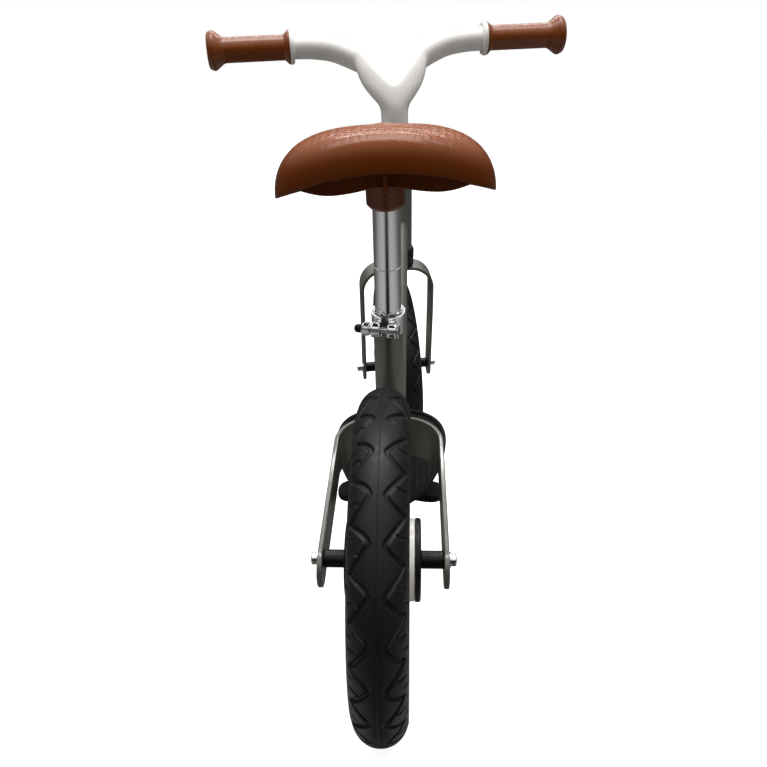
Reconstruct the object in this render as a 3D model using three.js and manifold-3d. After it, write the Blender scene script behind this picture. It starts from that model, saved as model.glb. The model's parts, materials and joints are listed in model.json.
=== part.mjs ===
// Balance bike for a small child: steel frame and forks, two foam-tyred wheels, a moulded handlebar,
// a height-adjustable saddle and a footrest.  Millimetres, +X right, +Y forwards, +Z up.
// Built with the rear axle above Y = 0 and the ground at Z = 0, then moved to its reference point,
// the middle of the bounding box on the ground.
import * as THREE from 'three';
import { mergeVertices } from 'three/addons/utils/BufferGeometryUtils.js';
import Module from 'manifold-3d';

const wasm = await Module();
wasm.setup();

// ---- driving dimensions ------------------------------------------------------------------------
const GAP = 0.3;                   // air left between pieces that touch
const REFERENCE = { x: 7.8, y: -286.4, z: 0 };   // moves the model to its reference point

const WHEEL_RADIUS = 142;
const TYRE_WIDTH = 43;
const TYRE_BORE = 111;             // radius where the tyre sits on the rim
const BOSS_RADIUS = 34;            // white hub disc
const BOSS_HALF = 25.7;
const CAP_HALF = 31.4;             // outer face of the black hub caps
const SPOKES = 5;

const AXLE_RADIUS = 4;
const AXLE_HALF = 58.5;
const NUT_RADIUS = 5.2;
const SPACER_RADIUS = 7.4;

const HEAD_TILT = THREE.MathUtils.degToRad(18);       // steering axis and seat tube, from upright
const STEER_REST = THREE.MathUtils.degToRad(9);       // the bike stands with the bar turned left
const HEAD_FOOT = { y: 513.6, z: 300 };               // point of the steering axis just above the crown
const FORK_RAKE = 9;                                  // front axle ahead of the steering axis

const STRIP = 4.5;                 // thickness of the flat steel of both forks
const REAR_HALF = 54;              // outside half width of the rear fork
const REAR_CROWN = 185;            // its crown, ahead of the rear axle
const REAR_CORNER = 40;
const FRONT_HALF = 51.6;
const FRONT_CORNER = 34;
const FRONT_STRIP = 30;            // width of the front fork's flat steel
const CROWN_TOP = 7.5;             // crown above HEAD_FOOT along the steering axis

const HEAD_RADIUS = 21.8;
const HEAD_BOTTOM = 34.4;
const HEAD_TOP = 140;
const RACE_RADIUS = 24.6;
const STEERER_RADIUS = 14.3;
const MAIN_RADIUS = 16.5;
const MAIN_REAR = { y: 186, z: 178 };
const MAIN_FRONT = { y: 486, z: 362.5 };

const SEAT_TUBE_RADIUS = 13.9;
const POST_RADIUS = 12.4;
const SEAT_AXIS = { y: 146, z: 320 };  // top of the seat tube, on its axis
const POST_SHOWN = 104;            // post above the seat tube
const POST_INSIDE = 52;            // post inside the seat tube
const SEAT_TURN = THREE.MathUtils.degToRad(2);      // saddle turned left about its post
const CLAMP_TURN = THREE.MathUtils.degToRad(-9);    // clamp turned right about the seat tube
const SADDLE_WALL = 4;
const WEB_PLACE = 86;              // the saddle's cross web, ahead of the rear axle

const BAR_HEIGHT = 285.5;            // grips' centre line, along the steering axis from HEAD_FOOT
const BAR_FORWARD = 50;
const BAR_HALF = 222;
const GRIP_LENGTH = 100;
const GRIP_RADIUS = 14.6;
const KNOB_RADIUS = 23;
const BAR_CORE = 11;
const ARM_RADIUS = 14.3;
const FLANGE_RADIUS = 20;          // collars on the bar and the grips' inner flanges
const NECK_RADIUS = 17;
const STEM_BOLT_HEIGHT = 190;      // cross bolt, above HEAD_FOOT

const PAINT = { color: 0x8b9284, roughness: 0.35, metalness: 0.2 };
const CHROME = { color: 0xc9ccce, roughness: 0.12, metalness: 1 };
const BLACK = { color: 0x111213, roughness: 0.4, metalness: 0 };
const RUBBER = { color: 0x1c1c1e, roughness: 0.75, metalness: 0 };
const WHITE = { color: 0xf0f0ee, roughness: 0.3, metalness: 0 };
const BROWN = { color: 0x9a4a22, roughness: 0.38, metalness: 0 };
const STEEL = { color: 0x9a9c9e, roughness: 0.3, metalness: 1 };

// ---- solids ------------------------------------------------------------------------------------
function welded(geometry) {
  const plain = geometry.clone();
  plain.deleteAttribute('normal');
  plain.deleteAttribute('uv');
  const merged = mergeVertices(plain, 1e-4);
  const corner = merged.index.array;
  const kept = [];
  for (let i = 0; i < corner.length; i += 3) {
    const [a, b, c] = [corner[i], corner[i + 1], corner[i + 2]];
    if (a !== b && b !== c && c !== a) kept.push(a, b, c);
  }
  merged.setIndex(kept);
  return merged;
}

function signedVolume(geometry) {
  const p = geometry.attributes.position;
  const corner = geometry.index.array;
  const [a, b, c] = [new THREE.Vector3(), new THREE.Vector3(), new THREE.Vector3()];
  let volume = 0;
  for (let i = 0; i < corner.length; i += 3) {
    a.fromBufferAttribute(p, corner[i]);
    b.fromBufferAttribute(p, corner[i + 1]);
    c.fromBufferAttribute(p, corner[i + 2]);
    volume += a.dot(b.cross(c)) / 6;
  }
  return volume;
}

function solid(geometry) {
  const merged = welded(geometry);
  const corner = Uint32Array.from(merged.index.array);
  if (signedVolume(merged) < 0) corner.reverse();
  const vertices = Float32Array.from(merged.attributes.position.array);
  return new wasm.Manifold(new wasm.Mesh({ numProp: 3, vertProperties: vertices, triVerts: corner }));
}

function union(...solids) {
  return solids.reduce((sum, next) => sum.add(next));
}

function geometryOf(body) {
  const mesh = body.getMesh();
  const geometry = new THREE.BufferGeometry();
  geometry.setAttribute('position', new THREE.BufferAttribute(mesh.vertProperties, 3));
  geometry.setIndex(new THREE.BufferAttribute(mesh.triVerts, 1));
  return geometry;
}

function piece(name, body, finish) {
  const geometry = geometryOf(body);
  geometry.computeVertexNormals();
  const mesh = new THREE.Mesh(geometry, new THREE.MeshStandardMaterial(finish));
  mesh.name = name;
  return mesh;
}

function group(...children) {
  const holder = new THREE.Group();
  holder.add(...children);
  return holder;
}

// ---- shapes ------------------------------------------------------------------------------------
// A turned body about Z: a list of [radius, height] corners that closes on itself.
function turned(profile, sides = 24) {
  const points = profile.map(([r, h]) => new THREE.Vector2(r, h));
  points.push(points[0].clone());
  return new THREE.LatheGeometry(points, sides).rotateX(Math.PI / 2);
}

const aboutX = (geometry) => geometry.rotateY(Math.PI / 2);

function ringProfile(outer, inner, low, high) {
  return [[inner, low], [outer, low], [outer, high], [inner, high]];
}

function ring(outer, inner, low, high, sides = 24) {
  return solid(turned(ringProfile(outer, inner, low, high), sides));
}

function ringX(outer, inner, low, high, sides = 24) {
  return solid(aboutX(turned(ringProfile(outer, inner, low, high), sides)));
}

function rodX(radius, low, high, sides = 16) {
  const rod = new THREE.CylinderGeometry(radius, radius, high - low, sides);
  return solid(rod.rotateZ(Math.PI / 2).translate((low + high) / 2, 0, 0));
}

function rod(radius, low, high, sides = 16) {
  const upright = new THREE.CylinderGeometry(radius, radius, high - low, sides);
  return solid(upright.rotateX(Math.PI / 2).translate(0, 0, (low + high) / 2));
}

function box(x0, x1, y0, y1, z0, z1) {
  const block = new THREE.BoxGeometry(x1 - x0, y1 - y0, z1 - z0);
  return solid(block.translate((x0 + x1) / 2, (y0 + y1) / 2, (z0 + z1) / 2));
}

// A straight round bar between two points of the bike's middle plane.
function barBetween(from, to, radius, sides = 24) {
  const along = new THREE.Vector3(0, to.y - from.y, to.z - from.z);
  const bar = new THREE.CylinderGeometry(radius, radius, along.length(), sides);
  const turn = new THREE.Quaternion().setFromUnitVectors(new THREE.Vector3(0, 1, 0), along.normalize());
  const middle = new THREE.Vector3(0, (from.y + to.y) / 2, (from.z + to.z) / 2);
  return solid(bar.applyQuaternion(turn).translate(middle.x, middle.y, middle.z));
}

// The outline of a U with round corners: open end down at y0, crown at y1, between two half widths.
function uShape(half, crown, corner, open, thickness, steps = 7) {
  const shape = new THREE.Shape();
  const inner = half - thickness;
  shape.moveTo(half, open);
  shape.lineTo(half, crown - corner);
  shape.absarc(half - corner, crown - corner, corner, 0, Math.PI / 2, false);
  shape.absarc(corner - half, crown - corner, corner, Math.PI / 2, Math.PI, false);
  shape.lineTo(-half, open);
  shape.lineTo(-inner, open);
  shape.absarc(corner - half, crown - corner, corner - thickness, Math.PI, Math.PI / 2, true);
  shape.absarc(half - corner, crown - corner, corner - thickness, Math.PI / 2, 0, true);
  shape.lineTo(inner, open);
  shape.closePath();
  return { shape, steps };
}

function extruded({ shape, steps }, low, high) {
  const slab = new THREE.ExtrudeGeometry(shape, {
    depth: high - low, bevelEnabled: false, curveSegments: steps,
  });
  return slab.translate(0, 0, low);
}

// A side view drawn in (y, z), extruded across the bike from x0 to x1.
function sideways(shape, x0, x1, steps = 12) {
  const slab = extruded({ shape, steps }, x0, x1);
  const swap = new THREE.Matrix4().set(0, 0, 1, 0, 1, 0, 0, 0, 0, 1, 0, 0, 0, 0, 0, 1);
  return solid(slab.applyMatrix4(swap));
}

// A plate drawn in plan, extruded upwards.
function plate(shape, low, high, steps = 12) {
  return extruded({ shape, steps }, low, high);
}

// ---- wheels ------------------------------------------------------------------------------------
function tyreProfile() {
  const half = TYRE_WIDTH / 2;
  const crown = new THREE.EllipseCurve(0, WHEEL_RADIUS - half, half, half, 0, Math.PI);
  const round = crown.getPoints(8).map((p) => [p.y, p.x]);
  return [[TYRE_BORE, half - 6], ...round, [TYRE_BORE, 6 - half]];
}

function tyre() {
  return solid(aboutX(turned(tyreProfile(), 48)));
}

// White moulding: rim, five spokes and the thick hub disc with a bearing seat at each end.
function wheelMoulding() {
  const rim = ringX(TYRE_BORE - GAP, 98, -14, 14, 48);
  const boss = rodX(BOSS_RADIUS, -BOSS_HALF, BOSS_HALF, 32);
  let wheel = rim.add(boss);
  for (let i = 0; i < SPOKES; i += 1) {
    const shape = new THREE.Shape();
    shape.moveTo(-11, 26);
    shape.quadraticCurveTo(-7, 60, -16, 102);
    shape.lineTo(16, 102);
    shape.quadraticCurveTo(7, 60, 11, 26);
    shape.closePath();
    const spoke = extruded({ shape, steps: 4 }, -8, 8).rotateY(Math.PI / 2);
    wheel = wheel.add(solid(spoke.rotateX((i * 2 * Math.PI) / SPOKES)));
  }
  const axleHole = rodX(AXLE_RADIUS + 2, -40, 40);
  const seats = union(rodX(11.3, -40, -17.7), rodX(11.3, 17.7, 40));
  return wheel.subtract(axleHole).subtract(seats);
}

function hubCap(side) {
  const inner = BOSS_HALF + GAP;
  const profile = [
    [AXLE_RADIUS + 1, inner], [BOSS_RADIUS, inner], [BOSS_RADIUS, CAP_HALF - 2.4],
    [BOSS_RADIUS - 2.4, CAP_HALF], [AXLE_RADIUS + 1, CAP_HALF],
  ];
  const cap = aboutX(turned(profile, 32));
  return solid(side < 0 ? cap.rotateY(Math.PI) : cap);
}

function bearing(side) {
  const [low, high] = side < 0 ? [-25, -18] : [18, 25];
  return ringX(11, AXLE_RADIUS + GAP, low, high, 16);
}

function wheel(end) {
  return group(
    piece(`${end}_tyre`, tyre(), RUBBER),
    piece(`${end}_wheel`, wheelMoulding(), WHITE),
    piece(`${end}_hub_cap_left`, hubCap(-1), BLACK),
    piece(`${end}_hub_cap_right`, hubCap(1), BLACK),
    piece(`${end}_bearing_left`, bearing(-1), STEEL),
    piece(`${end}_bearing_right`, bearing(1), STEEL),
  );
}

// Axle, spacers and cap nuts, for a fork whose legs stand between inner and outer.
function axleSet(end, inner, outer) {
  const set = [piece(`${end}_axle`, rodX(AXLE_RADIUS, -AXLE_HALF, AXLE_HALF), STEEL)];
  for (const [side, word] of [[-1, 'left'], [1, 'right']]) {
    const turn = side < 0 ? Math.PI : 0;
    const spacer = turned(ringProfile(SPACER_RADIUS, AXLE_RADIUS + GAP, CAP_HALF + GAP, inner - GAP), 16);
    const nut = turned([
      [AXLE_RADIUS + GAP, outer + GAP], [NUT_RADIUS, outer + GAP], [NUT_RADIUS, AXLE_HALF + 0.8],
      [NUT_RADIUS - 1.4, AXLE_HALF + 2], [0, AXLE_HALF + 2], [0, AXLE_HALF + GAP],
      [AXLE_RADIUS + GAP, AXLE_HALF + GAP],
    ], 12);
    set.push(piece(`${end}_spacer_${word}`, solid(aboutX(spacer).rotateY(turn)), BLACK));
    set.push(piece(`${end}_axle_nut_${word}`, solid(aboutX(nut).rotateY(turn)), CHROME));
  }
  return group(...set);
}

// ---- frame -------------------------------------------------------------------------------------
// Side view of a fork leg: a strip between two edge lines that ends in a round below the axle.
function rearSideView() {
  const shape = new THREE.Shape();
  const centre = { y: -2, z: WHEEL_RADIUS - 6.5 };
  shape.moveTo(200, 204);
  shape.lineTo(centre.y - 4, centre.z + 17);
  shape.absarc(centre.y, centre.z, 17, 1.81, 4.9, false);
  shape.lineTo(200, 161.5);
  shape.closePath();
  return shape;
}

function rearFork() {
  const strip = solid(extruded(uShape(REAR_HALF, REAR_CROWN, REAR_CORNER, -30, STRIP), 100, 230));
  const side = sideways(rearSideView(), -80, 80);
  const holes = rodX(AXLE_RADIUS + GAP, -80, 80);
  return strip.intersect(side).subtract(holes.translate([0, 0, WHEEL_RADIUS]));
}

function headAxisPoint(along) {
  return {
    y: HEAD_FOOT.y - Math.sin(HEAD_TILT) * along,
    z: HEAD_FOOT.z + Math.cos(HEAD_TILT) * along,
  };
}

function seatAxisPoint(along) {
  return {
    y: SEAT_AXIS.y - Math.sin(HEAD_TILT) * along,
    z: SEAT_AXIS.z + Math.cos(HEAD_TILT) * along,
  };
}

function mainTube() {
  const outer = barBetween(MAIN_REAR, MAIN_FRONT, MAIN_RADIUS);
  const bore = barBetween({ y: 130, z: 143.6 }, { y: 540, z: 395.7 }, MAIN_RADIUS - 2);
  const headClear = barBetween(headAxisPoint(0), headAxisPoint(200), HEAD_RADIUS + GAP);
  const behindCrown = box(-40, 40, 100, REAR_CROWN + GAP, 100, 260);
  return outer.subtract(bore).subtract(headClear).subtract(behindCrown);
}

// The seat tube is notched over the rear crown and mitred on top of the main tube.
function seatTube() {
  const low = seatAxisPoint(-138);
  const outer = barBetween(low, seatAxisPoint(0), SEAT_TUBE_RADIUS);
  const bore = barBetween(seatAxisPoint(-180), seatAxisPoint(30), POST_RADIUS + 0.4);
  const crown = box(-40, 40, REAR_CROWN - STRIP - GAP, REAR_CROWN + GAP, 100, 200.5);
  const main = barBetween({ y: 100, z: 125.1 }, MAIN_FRONT, MAIN_RADIUS + GAP);
  const under = box(-40, 40, REAR_CROWN, 260, 100, 197);
  const slot = box(-1.2, 1.2, 100, SEAT_AXIS.y, 296, 340);
  return outer.subtract(bore).subtract(crown).subtract(main).subtract(under).subtract(slot);
}

function headTube() {
  return ring(HEAD_RADIUS, HEAD_RADIUS - 3.5, HEAD_BOTTOM, HEAD_TOP, 32);
}

function lowerCup() {
  const bore = STEERER_RADIUS + 0.7;
  return solid(turned([
    [bore, CROWN_TOP + 7.2], [RACE_RADIUS, CROWN_TOP + 7.2], [RACE_RADIUS, HEAD_BOTTOM - GAP],
    [17.9, HEAD_BOTTOM - GAP], [17.9, HEAD_BOTTOM + 9], [bore, HEAD_BOTTOM + 9],
  ], 24));
}

function upperCup() {
  const bore = STEERER_RADIUS + 0.7;
  return solid(turned([
    [bore, HEAD_TOP - 9], [17.9, HEAD_TOP - 9], [17.9, HEAD_TOP + GAP], [RACE_RADIUS, HEAD_TOP + GAP],
    [RACE_RADIUS, HEAD_TOP + 10], [bore, HEAD_TOP + 10],
  ], 24));
}

// ---- seat clamp --------------------------------------------------------------------------------
const CLAMP_BOLT = { y: -20.5, z: -9.5 };  // bolt axis, from the seat tube's top along its own frame
const EAR = { radius: 7.3, inner: 3.6, outer: 11.9 };

// Collar with two barrel-shaped ears around the bolt.
function seatClamp() {
  const collar = ring(SEAT_TUBE_RADIUS + 2.6, SEAT_TUBE_RADIUS + GAP, -20, 0.5, 24);
  const ears = rodX(EAR.radius, -EAR.outer, EAR.outer, 16).translate([0, CLAMP_BOLT.y, CLAMP_BOLT.z]);
  const bore = rod(SEAT_TUBE_RADIUS + GAP, -40, 20, 24);
  const slot = box(-EAR.inner, EAR.inner, -40, 0, -40, 20);
  const boltHole = rodX(3.4, -30, 30).translate([0, CLAMP_BOLT.y, CLAMP_BOLT.z]);
  return collar.add(ears).subtract(bore).subtract(slot).subtract(boltHole);
}

function clampBolt() {
  const shank = rodX(3, -21, EAR.outer + 1);
  const head = rodX(6.6, EAR.outer + GAP, EAR.outer + 2.6, 16);
  return shank.add(head).translate([0, CLAMP_BOLT.y, CLAMP_BOLT.z]);
}

function clampNut() {
  const inner = -EAR.outer - GAP;
  return ringX(6.2, 3 + GAP, inner - 9, inner, 16).translate([0, CLAMP_BOLT.y, CLAMP_BOLT.z]);
}

function clampNutCap() {
  const dome = turned([[0, 0], [4.2, 0], [4.2, 3], [3, 5.8], [0, 6.8]], 16);
  return solid(aboutX(dome).rotateY(Math.PI).translate(-21.6, CLAMP_BOLT.y, CLAMP_BOLT.z));
}

// ---- footrest ----------------------------------------------------------------------------------
const DECK_TILT = Math.atan2(MAIN_FRONT.z - MAIN_REAR.z, MAIN_FRONT.y - MAIN_REAR.y);
const DECK_FOOT = { y: 158, z: 108 };      // rear tip of the deck
const DECK_SCREWS = [52, 100];             // along the deck from its rear tip

function atDeckScrews(radius, low, high) {
  return union(...DECK_SCREWS.map((along) => rod(radius, low, high, 12).translate([0, along, 0])));
}

const DECK_SEAT = 1.5;                     // raised seat for the bracket on top of the deck

// Drawn flat from its rear tip, then tilted parallel to the main tube.
function deckOutline() {
  const shape = new THREE.Shape();
  shape.moveTo(0, 0);
  shape.bezierCurveTo(34, 2, 61, 52, 61, 92);
  shape.bezierCurveTo(61, 118, 44, 134, 0, 136);
  shape.bezierCurveTo(-44, 134, -61, 118, -61, 92);
  shape.bezierCurveTo(-61, 52, -34, 2, 0, 0);
  return shape;
}

function onDeck(body) {
  const tilt = THREE.MathUtils.radToDeg(DECK_TILT);
  return body.rotate([tilt, 0, 0]).translate([0, DECK_FOOT.y, DECK_FOOT.z]);
}

function footrestDeck() {
  const slab = solid(plate(deckOutline(), -5, 0, 10));
  const seat = box(-14, 14, 33, 119, -2, DECK_SEAT);
  return onDeck(slab.add(seat).subtract(atDeckScrews(2.6, -10, 5)));
}

// Block that fills the space between deck and main tube and takes the two deck screws.
function footrestBracket() {
  const block = box(-13, 13, 34, 118, DECK_SEAT + GAP, 46);
  const main = barBetween({ y: 100, z: 125.1 }, MAIN_FRONT, MAIN_RADIUS + GAP);
  const above = barBetween({ y: 100, z: 145.1 }, { y: 486, z: 382.5 }, MAIN_RADIUS + GAP);
  const crown = box(-40, 40, 100, REAR_CROWN + GAP, 100, 260);
  return onDeck(block.subtract(atDeckScrews(2.6, -1, 14))).subtract(main).subtract(above).subtract(crown);
}

function footrestScrew(along) {
  const screw = union(rod(2.3, -8, 12, 12), rod(4.6, -8, -5.3, 12));
  return onDeck(screw.translate([0, along, 0]));
}

// Two rounded foot pads joined by a waist, flat under the deck.
function padOutline() {
  const shape = new THREE.Shape();
  shape.moveTo(0, 22);
  shape.bezierCurveTo(20, 22, 24, 27, 36, 27);
  shape.bezierCurveTo(50, 27, 57, 15, 57, 0);
  shape.bezierCurveTo(57, -15, 50, -27, 36, -27);
  shape.bezierCurveTo(24, -27, 20, -20, 0, -20);
  shape.bezierCurveTo(-20, -20, -24, -27, -36, -27);
  shape.bezierCurveTo(-50, -27, -57, -15, -57, 0);
  shape.bezierCurveTo(-57, 15, -50, 27, -36, 27);
  shape.bezierCurveTo(-24, 27, -20, 22, 0, 22);
  return shape;
}

function footPads() {
  const pad = solid(plate(padOutline(), 0, 8, 6)).translate([0, 202, 99]);
  const post = box(-9, 9, 196, 214, 104, 142);
  const deckClear = solid(plate(deckOutline(), -5 - GAP, 60, 10));
  return pad.add(post).subtract(onDeck(deckClear)).subtract(onDeck(atDeckScrews(5.5, -40, 0)));
}

// ---- steering ----------------------------------------------------------------------------------
// In the steering frame: Z along the steering axis, Y forwards, zero at HEAD_FOOT.
const FRONT_DROP = (HEAD_FOOT.z - WHEEL_RADIUS
  + FORK_RAKE * Math.cos(STEER_REST) * Math.sin(HEAD_TILT)) / Math.cos(HEAD_TILT);

function frontFork() {
  const strip = solid(extruded(
    uShape(FRONT_HALF, CROWN_TOP, FRONT_CORNER, -FRONT_DROP - 40, STRIP), -40, 40,
  ).rotateX(Math.PI / 2));
  const shape = new THREE.Shape();
  const half = FRONT_STRIP / 2;
  const tip = { y: FORK_RAKE - 1, z: -FRONT_DROP - 5 };
  shape.moveTo(half, 20);
  shape.lineTo(-half, 20);
  shape.lineTo(-half, -60);
  shape.lineTo(tip.y - 14, tip.z);
  shape.absarc(tip.y, tip.z, 14, Math.PI, 2 * Math.PI, false);
  shape.lineTo(half, -60);
  shape.closePath();
  const holes = rodX(AXLE_RADIUS + GAP, -80, 80).translate([0, FORK_RAKE, -FRONT_DROP]);
  return strip.intersect(sideways(shape, -80, 80)).subtract(holes);
}

function steerer() {
  return ring(STEERER_RADIUS, STEERER_RADIUS - 2.5, CROWN_TOP + GAP, 206);
}

function crownRace() {
  return ring(RACE_RADIUS, STEERER_RADIUS + GAP, CROWN_TOP + GAP, CROWN_TOP + 6.6, 24);
}

function lockRing() {
  return ring(RACE_RADIUS - 3, STEERER_RADIUS + GAP, HEAD_TOP + 10.4, HEAD_TOP + 17);
}

// One arm of the bar: out of the hub, up, and level into the grip.
function armPath(side) {
  return new THREE.CatmullRomCurve3([
    new THREE.Vector3(side * 14, BAR_FORWARD - 14, BAR_HEIGHT - 28),
    new THREE.Vector3(side * 46, BAR_FORWARD - 4, BAR_HEIGHT - 15),
    new THREE.Vector3(side * 70, BAR_FORWARD, BAR_HEIGHT - 5.5),
    new THREE.Vector3(side * 95, BAR_FORWARD, BAR_HEIGHT - 1),
    new THREE.Vector3(side * 120, BAR_FORWARD, BAR_HEIGHT),
  ]);
}

function arm(side) {
  const section = new THREE.Shape().absarc(0, 0, ARM_RADIUS, 0, 2 * Math.PI);
  return solid(new THREE.ExtrudeGeometry(section, {
    steps: 8, curveSegments: 8, bevelEnabled: false, extrudePath: armPath(side),
  }));
}

// Heart-shaped hub between the arms, leaning forwards from the neck.
function hub() {
  const shape = new THREE.Shape();
  shape.moveTo(-NECK_RADIUS, -6);
  shape.quadraticCurveTo(-30, 6, -40, 26);
  shape.quadraticCurveTo(-52, 44, -44, 58);
  shape.quadraticCurveTo(-18, 50, 0, 44);
  shape.quadraticCurveTo(18, 50, 44, 58);
  shape.quadraticCurveTo(52, 44, 40, 26);
  shape.quadraticCurveTo(30, 6, NECK_RADIUS, -6);
  shape.closePath();
  const slab = extruded({ shape, steps: 5 }, -14, 14).rotateX(Math.PI / 2);
  return solid(slab.rotateX(-0.62).translate(0, 9, 216));
}

function stemBoltHole() {
  return rod(3.3, -40, 40).rotate([90, 0, 0]).translate([0, 0, STEM_BOLT_HEIGHT]);
}

function handlebar() {
  const neck = rod(NECK_RADIUS, HEAD_TOP + 17.3, 226, 24);
  const socket = rod(STEERER_RADIUS + GAP, HEAD_TOP, 206.5, 24);
  const flange = BAR_HALF - GRIP_LENGTH;
  const end = rodX(BAR_CORE, 110, BAR_HALF - 4, 16).add(rodX(FLANGE_RADIUS, flange - 6, flange - GAP, 24));
  const ends = end.add(end.mirror([1, 0, 0])).translate([0, BAR_FORWARD, BAR_HEIGHT]);
  return union(neck, hub(), arm(-1), arm(1), ends).subtract(socket).subtract(stemBoltHole());
}

function stemBolt() {
  const parts = union(rod(3, -18.5, 18.5), rod(5, 17.4, 21.4), rod(5.4, -21.4, -17.4, 6));
  return parts.rotate([90, 0, 0]).translate([0, 0, STEM_BOLT_HEIGHT]);
}

// The steerer and the neck share one cross hole for the stem bolt.
function drilledSteerer() {
  return steerer().subtract(stemBoltHole());
}

function grip(side) {
  const inner = BAR_HALF - GRIP_LENGTH;
  const profile = [
    [BAR_CORE + GAP, inner], [FLANGE_RADIUS - 0.4, inner], [FLANGE_RADIUS - 0.4, inner + 2],
    [GRIP_RADIUS, inner + 7], [GRIP_RADIUS, BAR_HALF - 20], [KNOB_RADIUS - 4, BAR_HALF - 13],
    [KNOB_RADIUS, BAR_HALF - 8], [KNOB_RADIUS - 1, BAR_HALF - 3.5], [KNOB_RADIUS - 5, BAR_HALF],
    [0, BAR_HALF], [0, BAR_HALF - 3.6], [BAR_CORE + GAP, BAR_HALF - 3.6],
  ];
  const body = aboutX(turned(profile, 20));
  return solid((side < 0 ? body.rotateY(Math.PI) : body).translate(0, BAR_FORWARD, BAR_HEIGHT));
}

// ---- seat --------------------------------------------------------------------------------------
// The rim of the saddle shell in the bike frame, right half, from the rear middle to the nose.
const RIM = [[0, 22, 449.8], [45, 27, 445], [79, 46, 435.2], [88.3, 71, 432], [73, 112, 434.5],
  [48, 150, 437], [34, 190, 442], [28, 230, 450], [19, 256, 458], [0, 268, 462]];
const SADDLE_MIDDLE = { y: 128, z: 485 };
const DOME_RINGS = [0, 0.45, 0.7, 0.85, 0.94, 0.985, 1];
const AROUND = 40;

function saddleRim() {
  const right = RIM.map(([x, y, z]) => new THREE.Vector3(x, y, z));
  const left = RIM.slice(1, -1).reverse().map(([x, y, z]) => new THREE.Vector3(-x, y, z));
  return new THREE.CatmullRomCurve3([...right, ...left], true).getPoints(AROUND).slice(0, AROUND);
}

// A point of the dome above one rim point: out runs from 0 at the crest to 1 on the rim.
function domePoint(rim, out, inset) {
  const spread = new THREE.Vector2(rim.x, rim.y - SADDLE_MIDDLE.y);
  spread.setLength(spread.length() - inset);
  const y = SADDLE_MIDDLE.y + spread.y * out;
  const along = (y - SADDLE_MIDDLE.y) / 112;
  const crest = SADDLE_MIDDLE.z + (along > 0 ? 14 : 4) * along ** 2 - inset;
  const rear = Math.max(-spread.y / spread.length(), 0) ** 2;
  const rise = (1 - out ** (2.6 + 0.6 * rear)) ** (0.5 - 0.21 * rear);
  return new THREE.Vector3(spread.x * out, y, rim.z + (crest - rim.z) * rise);
}

function domeLoops(inset) {
  return DOME_RINGS.map((out) => saddleRim().map((p) => domePoint(p, out, inset)));
}

// A closed body through a list of loops that have the same number of points.
function lofted(loops) {
  const vertices = loops.flat().flatMap((p) => [p.x, p.y, p.z]);
  const faces = [];
  for (let r = 0; r + 1 < loops.length; r += 1) {
    for (let i = 0; i < AROUND; i += 1) {
      const a = r * AROUND + i;
      const b = r * AROUND + ((i + 1) % AROUND);
      faces.push(a, b, a + AROUND, b, b + AROUND, a + AROUND);
    }
  }
  const geometry = new THREE.BufferGeometry();
  geometry.setAttribute('position', new THREE.Float32BufferAttribute(vertices, 3));
  geometry.setIndex(faces);
  return solid(geometry);
}

function saddleShell() {
  return lofted([...domeLoops(0), ...domeLoops(SADDLE_WALL).reverse()]);
}

// The space under the shell, a gap away from it.
function saddleInside() {
  const loops = domeLoops(SADDLE_WALL + GAP);
  const low = (scale) => saddleRim().map((p) => new THREE.Vector3(
    p.x * scale, SADDLE_MIDDLE.y + (p.y - SADDLE_MIDDLE.y) * scale, 380,
  ));
  return lofted([...loops, low(0.93), low(0)]);
}

function onSeatAxis(body) {
  const tilt = THREE.MathUtils.radToDeg(HEAD_TILT);
  return body.rotate([tilt, 0, 0]).translate([0, SEAT_AXIS.y, SEAT_AXIS.z]);
}

function seatPost() {
  return onSeatAxis(ring(POST_RADIUS, POST_RADIUS - 2, -POST_INSIDE, POST_SHOWN + 22, 24));
}

// Wall across the shell behind the post, with a wavy lower edge.
function crossWeb() {
  const half = [[0, 435.4], [10, 435], [18, 433.5], [27, 431.9], [36, 430.8], [45, 430.3], [54, 431],
    [63, 433], [72, 436], [84, 441]];
  const left = half.slice(1).reverse().map(([x, z]) => [-x, z]);
  const outline = [...left, ...half, [84, 480], [-84, 480]].map(([x, z]) => new THREE.Vector2(x, z));
  const slab = extruded({ shape: new THREE.Shape(outline), steps: 1 }, -1.5, 1.5);
  return solid(slab.rotateX(Math.PI / 2).translate(0, WEB_PLACE, 0));
}

// Socket for the post, a long rib and the cross web, trimmed to the underside of the shell.
function saddleSocket() {
  const collar = solid(turned([
    [POST_RADIUS + GAP, POST_SHOWN], [14.5, POST_SHOWN], [17, POST_SHOWN + 3], [17, POST_SHOWN + 70],
    [0, POST_SHOWN + 70], [0, POST_SHOWN + 22.3], [POST_RADIUS + GAP, POST_SHOWN + 22.3],
  ], 24));
  const rib = box(-1.5, 1.5, 30, 168, 444, 480);
  const bore = onSeatAxis(rod(16, POST_SHOWN - 20, POST_SHOWN + 30, 24));
  const webs = rib.add(crossWeb()).subtract(bore);
  return onSeatAxis(collar).add(webs).intersect(saddleInside());
}

// ---- assembly ----------------------------------------------------------------------------------
function frame() {
  const rearAxle = axleSet('rear', REAR_HALF - STRIP, REAR_HALF);
  rearAxle.position.z = WHEEL_RADIUS;
  return group(
    piece('rear_fork', rearFork(), PAINT),
    piece('main_tube', mainTube(), PAINT),
    piece('seat_tube', seatTube(), PAINT),
    piece('footrest_deck', footrestDeck(), BLACK),
    piece('footrest_bracket', footrestBracket(), BLACK),
    ...DECK_SCREWS.map((along, i) => piece(`footrest_screw_${i + 1}`, footrestScrew(along), STEEL)),
    piece('foot_pads', footPads(), BLACK),
    rearAxle,
  );
}

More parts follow.
